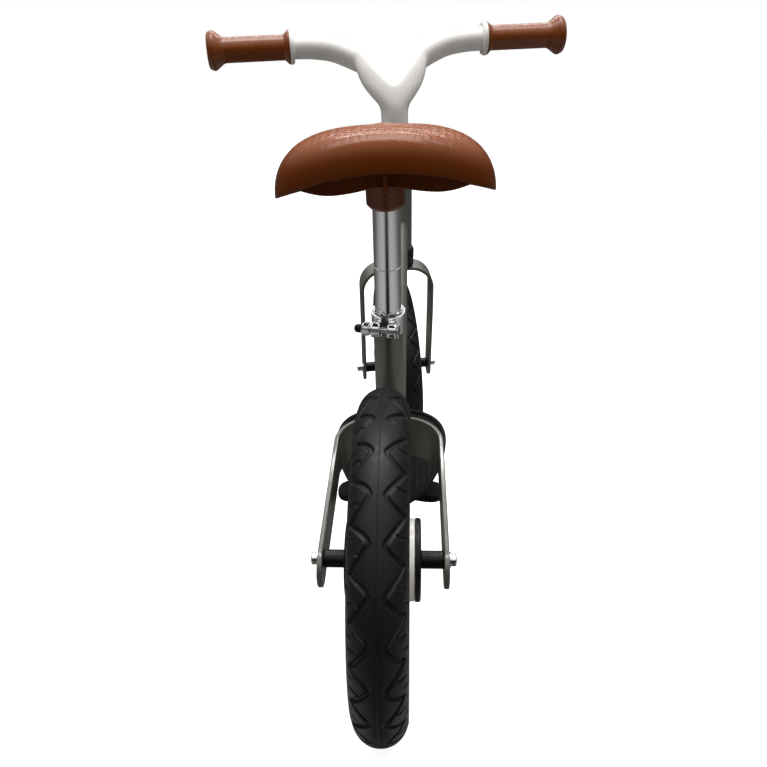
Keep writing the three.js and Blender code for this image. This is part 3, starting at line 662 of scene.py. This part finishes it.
def rear_edges(y):
    """Lower and upper edge of the rear strip, which narrows back from the crown to a round tip."""
    reach = math.sqrt(max(17 ** 2 - (y + 2) ** 2, 0.04))
    high = 154 + 0.25 * y if y > -6 else 135.5 + reach
    low = 118.8 + 0.2147 * (y - 1.17) if y > 1.17 else 135.5 - reach
    return low, high


def front_edges(height):
    """Rear and front edge of the front strip at a height on the steering axis."""
    if height > TAPER_TOP:
        return -15, 15
    if height > FRONT_TIP:
        t = (TAPER_TOP - height) / (TAPER_TOP - FRONT_TIP)
        return -15 + 9 * t, 15 + 7 * t
    reach = math.sqrt(max(14 ** 2 - (height - FRONT_TIP) ** 2, 0.04))
    return 8 - reach, 8 + reach


def round_tip(end, radius, steps=10):
    """Stations up a leg's round tip, close together at its end."""
    return [end + radius * (1 - math.cos(math.pi / 2 * k / steps)) for k in range(steps)]


def forks():
    legs = round_tip(-19, 17) + [-2 + 7 * k for k in range(21)]
    rear = bent_strip(REAR_HALF, REAR_CROWN, REAR_CORNER, rear_edges, legs)
    hole = between((-80, 0, WHEEL_RADIUS), (80, 0, WHEEL_RADIUS), AXLE_RADIUS + 0.1)
    piece("rear_fork_strip", cut(rear, hole), BIKE, "frame", "paint", ["rear_fork"])
    legs = round_tip(FRONT_TIP - 14, 14) + [FRONT_TIP + 7 * k for k in range(22)]
    front = bent_strip(FRONT_HALF, CROWN_TOP, FRONT_CORNER, front_edges, legs)
    upright = Matrix(((1, 0, 0, 0), (0, 0, 1, 0), (0, 1, 0, 0), (0, 0, 0, 1)))
    front = cleaned(moved(front, upright))
    hole = between((-80, 9, -FRONT_DROP), (80, 9, -FRONT_DROP), AXLE_RADIUS + 0.1)
    piece("front_fork_strip", cut(front, hole), STEER, "steering", "paint", ["front_fork"])


# ---- frame -----------------------------------------------------------------------------------
def main_bar(behind, ahead, radius):
    """A bar on the main tube's axis that runs past both of its ends."""
    return between(Vector(MAIN_REAR) - MAIN_WAY * behind, Vector(MAIN_FRONT) + MAIN_WAY * ahead, radius)


def seat_bar(low, high, radius, fillet=0.4):
    return between(SEAT_FOOT + TUBE_WAY * low, SEAT_FOOT + TUBE_WAY * high, radius, fillet)


def tubes():
    crown = block(-60, 60, 100, REAR_CROWN - 0.5, 90, 260)
    head = between(HEAD_START, HEAD_START + TUBE_WAY * 200, HEAD_RADIUS - 0.5)
    main = cut(main_bar(40, 22, MAIN_RADIUS), crown, head)
    piece("main_tube_bar", main, BIKE, "frame", "paint", ["main_tube"])
    outer = seat_bar(-138, 0, SEAT_TUBE_RADIUS, 0.8)
    bore = seat_bar(-150, 20, POST_RADIUS + 0.3)
    notch = block(-40, 40, REAR_CROWN - STRIP + 0.3, REAR_CROWN - 0.2, 90, 200)
    under = block(-40, 40, REAR_CROWN - 0.2, 260, 90, 190)
    clear = main_bar(60, 0, MAIN_RADIUS - 0.5)
    slot = block(-1.2, 1.2, 100, SEAT_FOOT.y, 296, 340)
    seat_tube = cut(outer, bore, notch, under, clear, slot)
    piece("seat_tube_bar", seat_tube, BIKE, "frame", "paint", ["seat_tube"])
    head_tube = turned([(HEAD_RADIUS - 3.5, HEAD_BOTTOM, 0.4), (HEAD_RADIUS, HEAD_BOTTOM, 0.8),
                        (HEAD_RADIUS, HEAD_TOP, 0.8), (HEAD_RADIUS - 3.5, HEAD_TOP, 0.4)], 96)
    piece("head_tube_bar", head_tube, HEAD, "frame", "paint", ["head_tube"])


def headset():
    bore = STEERER_RADIUS + 0.3
    low = CROWN_TOP + 7.2
    lower = [(bore, low, 0.3), (RACE_RADIUS - 0.6, low, 1), (RACE_RADIUS, low + 7, 1),
             (RACE_RADIUS, HEAD_BOTTOM - 4, 1), (HEAD_RADIUS + 0.6, HEAD_BOTTOM - 0.1, 0.8),
             (17.9, HEAD_BOTTOM - 0.1, 0), (17.9, HEAD_BOTTOM + 9, 0.3), (bore, HEAD_BOTTOM + 9, 0.3)]
    upper = [(bore, HEAD_TOP - 9, 0.3), (17.9, HEAD_TOP - 9, 0.3), (17.9, HEAD_TOP + 0.1, 0),
             (HEAD_RADIUS + 0.6, HEAD_TOP + 0.1, 0.6), (RACE_RADIUS, HEAD_TOP + 3.4, 1),
             (RACE_RADIUS - 0.4, HEAD_TOP + 10, 1.2), (bore, HEAD_TOP + 10, 0.3)]
    race = [(bore, CROWN_TOP + 0.1, 0.3), (RACE_RADIUS - 1.6, CROWN_TOP + 0.1, 1),
            (RACE_RADIUS, CROWN_TOP + 3, 1), (RACE_RADIUS - 0.6, CROWN_TOP + 6.6, 0.8),
            (bore, CROWN_TOP + 6.6, 0.3)]
    lock = [(bore, HEAD_TOP + 10.4, 0.3), (RACE_RADIUS - 3.2, HEAD_TOP + 10.4, 0.6),
            (RACE_RADIUS - 3, HEAD_TOP + 14, 0.8), (RACE_RADIUS - 4.5, HEAD_TOP + 17, 0.8),
            (bore, HEAD_TOP + 17, 0.3)]
    still, turning = (HEAD, "frame"), (STEER, "steering")
    for name, outline, seat in (("lower_headset_cup", lower, still), ("upper_headset_cup", upper, still),
                                ("crown_race", race, turning), ("headset_lock_ring", lock, turning)):
        piece(f"{name}_ring", turned(outline, 96), *seat, "black_plastic", [name])


# ---- footrest --------------------------------------------------------------------------------
DECK_FOOT, DECK_SCREWS, DECK_SEAT = (0, 158, 108), (52, 100), 1.5
DECK_TILT = math.atan2(MAIN_FRONT[2] - MAIN_REAR[2], MAIN_FRONT[1] - MAIN_REAR[1])
DECK = BIKE @ Matrix.Translation(DECK_FOOT) @ Matrix.Rotation(DECK_TILT, 4, "X")
DECK_HALF = [(0, 0), (34, 2), (61, 52), (61, 92), (61, 118), (44, 134), (0, 136)]
PAD_HALF = [(0, 20), (20, 20), (26, 28.5), (38, 28.5), (52, 28.5), (58, 22), (58, 8), (58, -5), (54, -12),
            (45, -12), (34, -12), (28, -4), (0, -4)]


def deck_outline(inset=0.0):
    half = bezier(DECK_HALF, 22) + [Vector((0, 136))]
    middle = Vector((0, 76))
    return [middle + (p - middle) * (1 - inset / (p - middle).length) for p in mirrored(half)]


def deck():
    """Shield-shaped deck: a raised rounded rim around a floor with grip ribs running fore and aft."""
    levels = [(3.5, -5), (1.2, -4.6), (0.2, -3.2), (0, -1.6), (0.4, -0.3), (1.4, 0.4), (3.0, 0.6),
              (4.4, 0.2), (5.2, -0.6), (5.8, -1.2), (7, -1.3)]
    slab = lofted([[(*p, z) for p in deck_outline(inset)] for inset, z in levels])
    ribs = []
    for i in range(-8, 9):
        x = i * 6.6
        inside = [p.y for p in deck_outline(9) if abs(p.x - x) < 3]
        low, high = min(inside), max(inside)
        for start, end in [(low, 31), (121, high)] if abs(x) < 15 else [(low, high)]:
            if end - start > 6:
                ribs.append(block(x - 1.0, x + 1.0, start, end, -2.4, -0.85, 0.4))
    seat = block(-14, 14, 33, 119, -3, DECK_SEAT, 0.8)
    return joined(slab, seat, *ribs)


def footrest():
    made = piece("footrest_deck_shell", deck(), DECK, "frame", "black_plastic", ["footrest_deck"])
    made.data.materials[0] = MATT_BLACK
    raw = moved(moved(block(-13, 13, 34, 118, DECK_SEAT, 46, 1.2), DECK), BIKE.inverted())
    main = main_bar(60, 0, MAIN_RADIUS)
    above = moved(main_bar(60, 0, MAIN_RADIUS), Matrix.Translation((0, 0, 20)))
    crown = block(-40, 40, 60, REAR_CROWN + 0.1, 60, 260)
    piece("footrest_bracket_block", cut(raw, main, above, crown), BIKE, "frame", "black_plastic",
          ["footrest_bracket"])
    half = bezier(PAD_HALF, 12) + [Vector(PAD_HALF[-1])]
    pad = prism(mirrored(half), 0, 8, 2.4)
    pad.transform(Matrix.Translation((0, 202, 99)))
    post = block(-9, 9, 196, 214, 104, 142, 1.2)
    under = moved(block(-80, 80, -20, 160, -5.1, 80), BIKE.inverted() @ DECK)
    made = piece("foot_pads_moulding", joined(pad, cut(post, under)), BIKE, "frame", "black_plastic",
                 ["foot_pads"])
    made.data.materials[0] = MATT_BLACK
    for i, along in enumerate(DECK_SCREWS):
        screw = turned([(0, -8, 0), (3.4, -8, 0.8), (4.6, -6.6, 0.5), (4.6, -5.1, 0.2), (2.3, -5.1, 0),
                        (2.3, 12, 0.3), (0, 12, 0)], 48)
        slot = block(-2.6, 2.6, -0.6, 0.6, -9, -6.6)
        cross = block(-0.6, 0.6, -2.6, 2.6, -9, -6.6)
        made = moved(cut(screw, slot, cross), Matrix.Translation((0, along, 0)))
        piece(f"footrest_screw_{i + 1}_head", made, DECK, "frame", "steel", [f"footrest_screw_{i + 1}"])


# ---- seat clamp and post ---------------------------------------------------------------------
def clamp():
    y, z = CLAMP_BOLT
    collar = turned([(13.95, -20, 0.3), (15.9, -20, 0.6), (15.9, -2.4, 1.2), (16.4, -0.2, 0.5),
                     (15.6, 0.6, 0.4), (13.95, -0.4, 0.2)], 96)
    ears = [along_x(turned([(0, 3.6, 0), (6.9, 3.6, 0.9), (7.5, 5, 0.6), (7.5, 10.4, 0.6),
                            (6.9, 11.9, 0.9), (0, 11.9, 0)], 64), side, 0, y, z) for side in (-1, 1)]
    bore = between((0, 0, -40), (0, 0, 20), 13.95)
    slot = block(-3.6, 3.6, -40, 0, -40, 20)
    hole = between((-30, y, z), (30, y, z), 3.1)
    body = cut(joined(collar, *ears), bore, slot, hole)
    piece("seat_clamp_collar", body, CLAMP, "frame", "chrome", ["seat_clamp"])
    bolt = joined(along_x(turned([(0, -21, 0), (3, -21, 0.4), (3, 13, 0), (0, 13, 0)], 48), 1, 0, y, z),
                  along_x(turned([(0, 12.1, 0), (6.6, 12.1, 0.4), (6.6, 13.6, 0.6), (5.2, 14.4, 0.6),
                                  (0, 14.5, 0)], 64), 1, 0, y, z))
    key = along_x(turned([(0, 12.6, 0), (2.6, 12.6, 0), (2.6, 20, 0), (0, 20, 0)], 6), 1, 0, y, z)
    piece("clamp_bolt_shank", cut(bolt, key), CLAMP, "frame", "steel", ["clamp_bolt"])
    nut = turned([(3.2, 12.1, 0.3), (5.2, 12.1, 0.5), (5.4, 13.4, 0.3), (6.4, 14.4, 0.9),
                  (6.4, 19.6, 1.2), (5.0, 21.3, 0.6), (3.2, 21.3, 0.3)], 64)
    spots = [(6.9 * math.cos(TAU * k / 10), 6.9 * math.sin(TAU * k / 10)) for k in range(10)]
    flutes = [between((*spot, 13), (*spot, 21), 1, segments=16) for spot in spots]
    nut = along_x(cut(nut, *flutes), -1, 0, y, z)
    piece("clamp_nut_thumb", nut, CLAMP, "clamp_nut", "chrome", ["clamp_nut"])
    dome = along_x(turned([(0, 21.4, 0), (4.2, 21.4, 0.3), (4.2, 25.6, 2.2), (2.6, 28.0, 1.6),
                           (0, 28.4, 0)], 48), -1, 0, y, z)
    piece("clamp_nut_cap_dome", dome, CLAMP, "clamp_nut", "black_plastic", ["clamp_nut_cap"])


def seat_post():
    """Chromed tube with its lowest safe position cut in as a fine ring."""
    top, mark = POST_SHOWN + 22, 47.5
    inner = POST_RADIUS - 2
    tube = turned([(inner, -POST_INSIDE, 0.3), (POST_RADIUS, -POST_INSIDE, 0.6),
                   (POST_RADIUS, mark - 0.7, 0.15), (POST_RADIUS - 0.35, mark - 0.4, 0.1),
                   (POST_RADIUS - 0.35, mark + 0.4, 0.1), (POST_RADIUS, mark + 0.7, 0.15),
                   (POST_RADIUS, top, 0.6), (inner, top, 0.3)], 96)
    piece("seat_post_tube", tube, POST, "seat", "chrome", ["seat_post"])


# ---- saddle ----------------------------------------------------------------------------------
RIM = [(0, 22, 449.8), (45, 27, 445), (79, 46, 435.2), (88.3, 71, 432), (73, 112, 434.5),
       (48, 150, 437), (34, 190, 442), (28, 230, 450), (19, 256, 458), (0, 268, 462)]
SADDLE_MIDDLE, SADDLE_CREST, SADDLE_WALL = 128, 485, 4
NOSE_RISE, TAIL_RISE, RISE_REACH = 14, 4, 112
SADDLE_AROUND = 168
WEB_PLACE = 86
WEB_EDGE = [(0, 435.4), (10, 435), (18, 433.5), (27, 431.9), (36, 430.8), (45, 430.3), (54, 431),
            (63, 433), (72, 436), (84, 441)]


def smooth_loop(points, count):
    """Closed curve through the points, evenly sampled between them by centripetal blending."""
    out = []
    total = len(points)
    for i in range(count):
        at = i * total / count
        k, t = int(at), at % 1
        p0, p1, p2, p3 = (Vector(points[(k + j) % total]) for j in (-1, 0, 1, 2))
        spans = [max((b - a).length, 1e-6) ** 0.5 for a, b in ((p0, p1), (p1, p2), (p2, p3))]
        m1 = (p1 - p0) / spans[0] - (p2 - p0) / (spans[0] + spans[1]) + (p2 - p1) / spans[1]
        m2 = (p2 - p1) / spans[1] - (p3 - p1) / (spans[1] + spans[2]) + (p3 - p2) / spans[2]
        m1, m2 = m1 * spans[1], m2 * spans[1]
        out.append(p1 * (2 * t ** 3 - 3 * t * t + 1) + m1 * (t ** 3 - 2 * t * t + t)
                   + p2 * (3 * t * t - 2 * t ** 3) + m2 * (t ** 3 - t * t))
    return out


def saddle_rim():
    left = [(-x, y, z) for x, y, z in reversed(RIM[1:-1])]
    return smooth_loop([*RIM, *left], SADDLE_AROUND)


def dome_point(rim, out, inset):
    """A point of the dome above a rim point: out runs from 0 at the crest to 1 on the rim."""
    flat = Vector((rim.x, rim.y - SADDLE_MIDDLE))
    flat *= (flat.length - inset) / flat.length
    y = SADDLE_MIDDLE + flat.y * out
    from_middle = (y - SADDLE_MIDDLE) / RISE_REACH
    crest = SADDLE_CREST + (NOSE_RISE if from_middle > 0 else TAIL_RISE) * from_middle ** 2 - inset
    rear = max(-flat.y / flat.length, 0) ** 2
    rise = max(1 - out ** (2.6 + 0.6 * rear), 0) ** (0.5 - 0.21 * rear)
    return Vector((flat.x * out, y, rim.z + (crest - rim.z) * rise))


def saddle_shell():
    """Domed shell with an even wall, rounded at its rim."""
    rim = saddle_rim()
    outs = [math.sin(math.pi / 2 * k / 44) for k in range(1, 45)]
    rows = [[dome_point(p, out, 0) for p in rim] for out in outs]
    wall = SADDLE_WALL - 1.2
    middle = Vector((0, SADDLE_MIDDLE))
    lip = []
    for k in range(1, 6):
        angle = math.pi * k / 6
        inset, drop = wall / 2 * (1 - math.cos(angle)), wall / 2 * math.sin(angle)
        row = []
        for p in rim:
            flat = Vector((p.x, p.y)) - middle
            flat *= (flat.length - inset) / flat.length
            row.append(Vector((flat.x, flat.y + SADDLE_MIDDLE, p.z - drop * 0.7)))
        lip.append(row)
    under = [[dome_point(p, out, wall) for p in rim] for out in reversed(outs)]
    return lofted(rows + lip + under)


def saddle_inside():
    """The space under the shell, down past the rim, that the ribs and the socket stay in."""
    rim = saddle_rim()
    outs = [math.sin(math.pi / 2 * k / 24) for k in range(1, 25)]
    wall = SADDLE_WALL - 1.1
    loops = [[dome_point(p, out, wall) for p in rim] for out in outs]
    loops.append([(p.x * 0.93, SADDLE_MIDDLE + (p.y - SADDLE_MIDDLE) * 0.93, 380) for p in rim])
    return lofted(loops)


def saddle_underside():
    """Socket for the post, a long rib and the wavy cross web, trimmed to the shell."""
    tilt = Matrix.Translation(SEAT_FOOT) @ Matrix.Rotation(HEAD_TILT, 4, "X")
    bore = POST_RADIUS + 0.1
    collar = moved(turned([(bore, POST_SHOWN, 0.3), (14.5, POST_SHOWN, 0.6), (17, POST_SHOWN + 3, 1.5),
                           (17, POST_SHOWN + 70, 0), (0, POST_SHOWN + 70, 0), (0, POST_SHOWN + 22.2, 0),
                           (bore, POST_SHOWN + 22.2, 0)], 72), tilt)
    rib = joined(block(-1.2, 1.2, 36, 168, 440, 480, 0.4), block(-1.1, 1.1, 66, 86, 427, 470, 0.4),
                 block(-1.15, 1.15, 37, 48, 433, 470, 0.4))
    edge = [*[(-x, z) for x, z in reversed(WEB_EDGE[1:])], *WEB_EDGE]
    curve = smooth_loop([(x, z, 0) for x, z in edge], len(edge) * 6)[:(len(edge) - 1) * 6 + 1]
    outline = [Vector((p.x, p.y)) for p in curve] + [Vector((84, 480)), Vector((-84, 480))]
    web = lofted([[(p.x, WEB_PLACE + y, p.y + lift) for p in outline]
                  for y, lift in ((-1.5, 0.6), (-0.9, 0), (0.9, 0), (1.5, 0.6))])
    post = moved(between((0, 0, POST_SHOWN - 20), (0, 0, POST_SHOWN + 30), 15), tilt)
    webs = cut(joined(rib, web), post)
    return common(joined(webs, collar), saddle_inside())


def saddle():
    made = piece("saddle_dome", saddle_shell(), SADDLE, "seat", "brown_plastic", ["saddle_shell"], 50)
    made.data.materials[0] = SADDLE_FINISH
    piece("saddle_underside", saddle_underside(), SADDLE, "seat", "brown_plastic", ["saddle_socket"])


# ---- handlebar -------------------------------------------------------------------------------
# Rows of the hub: height, half width, half depth and forward place.
HUB = [(196, 16.9, 16.9, 0), (206, 16.9, 16.9, 0.3), (216, 17, 17.4, 2), (224, 19.5, 18.6, 5),
       (233, 28, 19.8, 10), (246, 38.3, 20.5, 18), (262, 44.5, 19.5, 28), (274, 46, 17.5, 36),
       (283, 44.5, 14.5, 42), (289, 38, 9, 46), (291.5, 26, 4, 48)]


def hub():
    """Heart-shaped hub, lofted from the neck up to the arms."""
    loops = []
    for height, wide, deep, ahead in smooth_rows(HUB, 6):
        loop = []
        for k in range(64):
            angle = TAU * k / 64
            c, s = math.cos(angle), math.sin(angle)
            loop.append((wide * abs(c) ** 0.9 * (1 if c > 0 else -1), ahead + deep * s, height))
        loops.append(loop)
    return lofted(loops)


def smooth_rows(rows, steps):
    """Rows of numbers, with in-between rows on a smooth curve."""
    table = np.array(rows, float)
    out = []
    for i in range(len(table) - 1):
        p0, p1, p2, p3 = table[max(i - 1, 0)], table[i], table[i + 1], table[min(i + 2, len(table) - 1)]
        for k in range(steps):
            t = k / steps
            out.append(p1 + 0.5 * t * (p2 - p0 + t * (2 * p0 - 5 * p1 + 4 * p2 - p3
                                                      + t * (3 * (p1 - p2) + p3 - p0))))
    out.append(table[-1])
    return out


def dish():
    """Everything above the hollowed face of the hub: a valley that climbs forwards and to both sides."""
    size = 41
    xs = [-60 + 3 * i for i in range(size)]
    ys = [-30 + 3 * j for j in range(size)]
    low = [(x, y, 243.5 + 0.52 * (y + 6) + 0.52 * math.hypot(x, 3)) for x in xs for y in ys]
    high = [(x, y, 400) for x in xs for y in ys]
    faces = grid_faces(size, size, wrap_columns=False)
    top = [tuple(v + size * size for v in face) for face in faces]
    edge = ([i * size for i in range(size)] + [(size - 1) * size + j for j in range(1, size)]
            + [i * size + size - 1 for i in range(size - 2, -1, -1)] + list(range(size - 2, 0, -1)))
    walls = [(a, b, b + size * size, a + size * size) for a, b in zip(edge, edge[1:] + edge[:1])]
    return cleaned(mesh_of(low + high, faces + top + walls))


def arm(side):
    """One arm: out of the hub, up, and level into the grip."""
    path = [(side * 27, BAR_FORWARD - 12, BAR_HEIGHT - 22), (side * 46, BAR_FORWARD - 5, BAR_HEIGHT - 14),
            (side * 70, BAR_FORWARD - 0.5, BAR_HEIGHT - 5), (side * 95, BAR_FORWARD, BAR_HEIGHT - 1),
            (side * 121, BAR_FORWARD, BAR_HEIGHT)]
    points = [Vector(row) for row in smooth_rows(path, 10)]
    loops = []
    for i, point in enumerate(points):
        way = (points[min(i + 1, len(points) - 1)] - points[max(i - 1, 0)]).normalized()
        first = way.cross(UP).normalized()
        second = first.cross(way)
        turns = [TAU * k / 40 for k in range(40)]
        loops.append([point + ARM_RADIUS * (first * math.cos(a) + second * math.sin(a)) for a in turns])
    return lofted(loops)


def handlebar():
    neck = turned([(0, 157.5, 0), (NECK_RADIUS, 157.5, 1), (NECK_RADIUS, 206, 0), (0, 206, 0)], 64)
    body = blended(bundled(neck, cut(hub(), dish()), arm(-1), arm(1)), 1.25, 60)
    piece("handlebar_moulding", body, STEER, "steering", "white_plastic", ["handlebar"], 80)
    flange = BAR_HALF - GRIP_LENGTH
    for side, word in ((-1, "left"), (1, "right")):
        collar = turned([(0, flange - 5.6, 0), (ARM_RADIUS - 1, flange - 5.6, 0),
                         (FLANGE_RADIUS - 0.9, flange - 4.6, 0.8),
                         (FLANGE_RADIUS - 0.9, flange - 2.6, 0.3), (FLANGE_RADIUS, flange - 2.4, 0.4),
                         (FLANGE_RADIUS, flange - 0.1, 0.4), (0, flange - 0.1, 0)], 96)
        ring = along_x(collar, side, 0, BAR_FORWARD, BAR_HEIGHT)
        piece(f"handlebar_collar_{word}", ring, STEER, "steering", "white_plastic")
        grip = turned([(0, flange, 0), (FLANGE_RADIUS - 0.4, flange, 0.6),
                       (FLANGE_RADIUS - 0.8, flange + 2.2, 0.9), (GRIP_RADIUS, flange + 6.6, 4),
                       (GRIP_RADIUS + 0.1, BAR_HALF - 20, 9), (KNOB_RADIUS + 0.4, BAR_HALF - 8, 4.2),
                       (KNOB_RADIUS - 2.4, BAR_HALF - 1.2, 4.2), (0, BAR_HALF + 0.4, 0)], 96, 9)
        grip = along_x(grip, side, 0, BAR_FORWARD, BAR_HEIGHT)
        piece(f"grip_{word}_sleeve", grip, STEER, "steering", "brown_plastic", [f"grip_{word}"])


# ---- stage -----------------------------------------------------------------------------------
def floor():
    """A wide floor that glows nearly white, seen directly but not in bounced or mirrored light."""
    side = 40.0
    mesh = mesh_of([(-side, -side, 0), (side, -side, 0), (side, side, 0), (-side, side, 0)],
                   [(0, 1, 2, 3)])
    mesh.materials.append(new_material("pale_floor", (0.6, 0.6, 0.6), 0.9, Emission_Color=(1, 1, 1, 1),
                                       Emission_Strength=0.75))
    made = bpy.data.objects.new("floor", mesh)
    bpy.context.scene.collection.objects.link(made)
    made.location.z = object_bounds()[0][2]
    made.visible_diffuse = False
    made.visible_glossy = False
    made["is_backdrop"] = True


def area_light(name, place, target, size, power, across=None):
    light = bpy.data.lights.new(name, "AREA")
    light.size = size
    if across:
        light.shape = "RECTANGLE"
        light.size_y = across
    light.energy = power
    made = bpy.data.objects.new(name, light)
    made.location = place
    made.rotation_euler = (Vector(target) - Vector(place)).to_track_quat("-Z", "Y").to_euler()
    bpy.context.scene.collection.objects.link(made)


def world():
    """Seen as plain white. As light: bright overhead, fair from low down at both sides, dim elsewhere."""
    made = bpy.data.worlds.new("studio")
    bpy.context.scene.world = made
    made.use_nodes = True
    made.node_tree.nodes.clear()
    way = wired(made, "ShaderNodeTexCoord", {}, "Generated")
    across, _, up = wired(made, "ShaderNodeSeparateXYZ", {0: way}).node.outputs
    sides = spread(made, calculated(made, "ABSOLUTE", across), 0.07, 0.46, 0.04, 0.45, "SMOOTHSTEP")
    below = spread(made, up, 1.0, 0.22, -0.66, -0.25, "SMOOTHSTEP")
    sky = spread(made, up, 0.0, 1.5, 0.15, 0.92, "SMOOTHSTEP")
    strength = calculated(made, "MAXIMUM", calculated(made, "MULTIPLY", sides, below), sky)
    cooler = spread(made, up, 0.0, 1.0, 0.0, 0.5, "SMOOTHSTEP")
    tint = wired(made, "ShaderNodeMix", {"Factor": cooler, "A": (1.0, 0.97, 0.93, 1),
                                         "B": (1.0, 1.0, 0.99, 1)}, "Result", data_type="RGBA")
    lit = wired(made, "ShaderNodeBackground", {"Color": tint, "Strength": strength})
    seen = wired(made, "ShaderNodeBackground", {"Color": (1, 1, 1, 1), "Strength": 1.0})
    direct = wired(made, "ShaderNodeLightPath", {}, "Is Camera Ray")
    mix = wired(made, "ShaderNodeMixShader", {"Fac": direct, 1: lit, 2: seen})
    link(made, mix, made.node_tree.nodes.new("ShaderNodeOutputWorld").inputs["Surface"])


def lights():
    area_light("overhead", (0.0, 0.25, 2.4), (0, 0.05, 0.3), 1.0, 14)
    area_light("overhead_rear", (0.0, -0.05, 2.1), (0, 0, 0.3), 2.2, 21, 0.5)
    area_light("tube", (0.0, 1.25, 1.95), (0, 0.1, 0.45), 1.4, 9, 0.09)


def camera():
    """Behind the bike at about the saddle's height, looking down and a little to the left."""
    lens = bpy.data.cameras.new("camera")
    lens.lens = lens.sensor_width = 36
    lens.clip_start = 0.01
    made = bpy.data.objects.new("camera", lens)
    yaw, pitch, roll = (math.radians(degrees) for degrees in (2.18, 17.7, 0.4))
    made.location = BIKE @ Vector((22.1, -560.3, 473.5))
    turn = Matrix.Rotation(yaw, 3, "Z") @ Matrix.Rotation(math.pi / 2 - pitch, 3, "X")
    made.rotation_euler = (turn @ Matrix.Rotation(-roll, 3, "Z")).to_euler()
    bpy.context.scene.collection.objects.link(made)
    bpy.context.scene.camera = made


finish_cad_nodes()
camera()
wheel("rear", REAR_WHEEL)
wheel("front", FRONT_WHEEL)
axle_set("rear", REAR_WHEEL, "frame", REAR_HALF - STRIP, REAR_HALF)
axle_set("front", FRONT_WHEEL, "steering", FRONT_HALF - STRIP, FRONT_HALF)
forks()
tubes()
headset()
footrest()
clamp()
seat_post()
saddle()
handlebar()
floor()
world()
lights()
bpy.context.scene.view_settings.view_transform = "Standard"
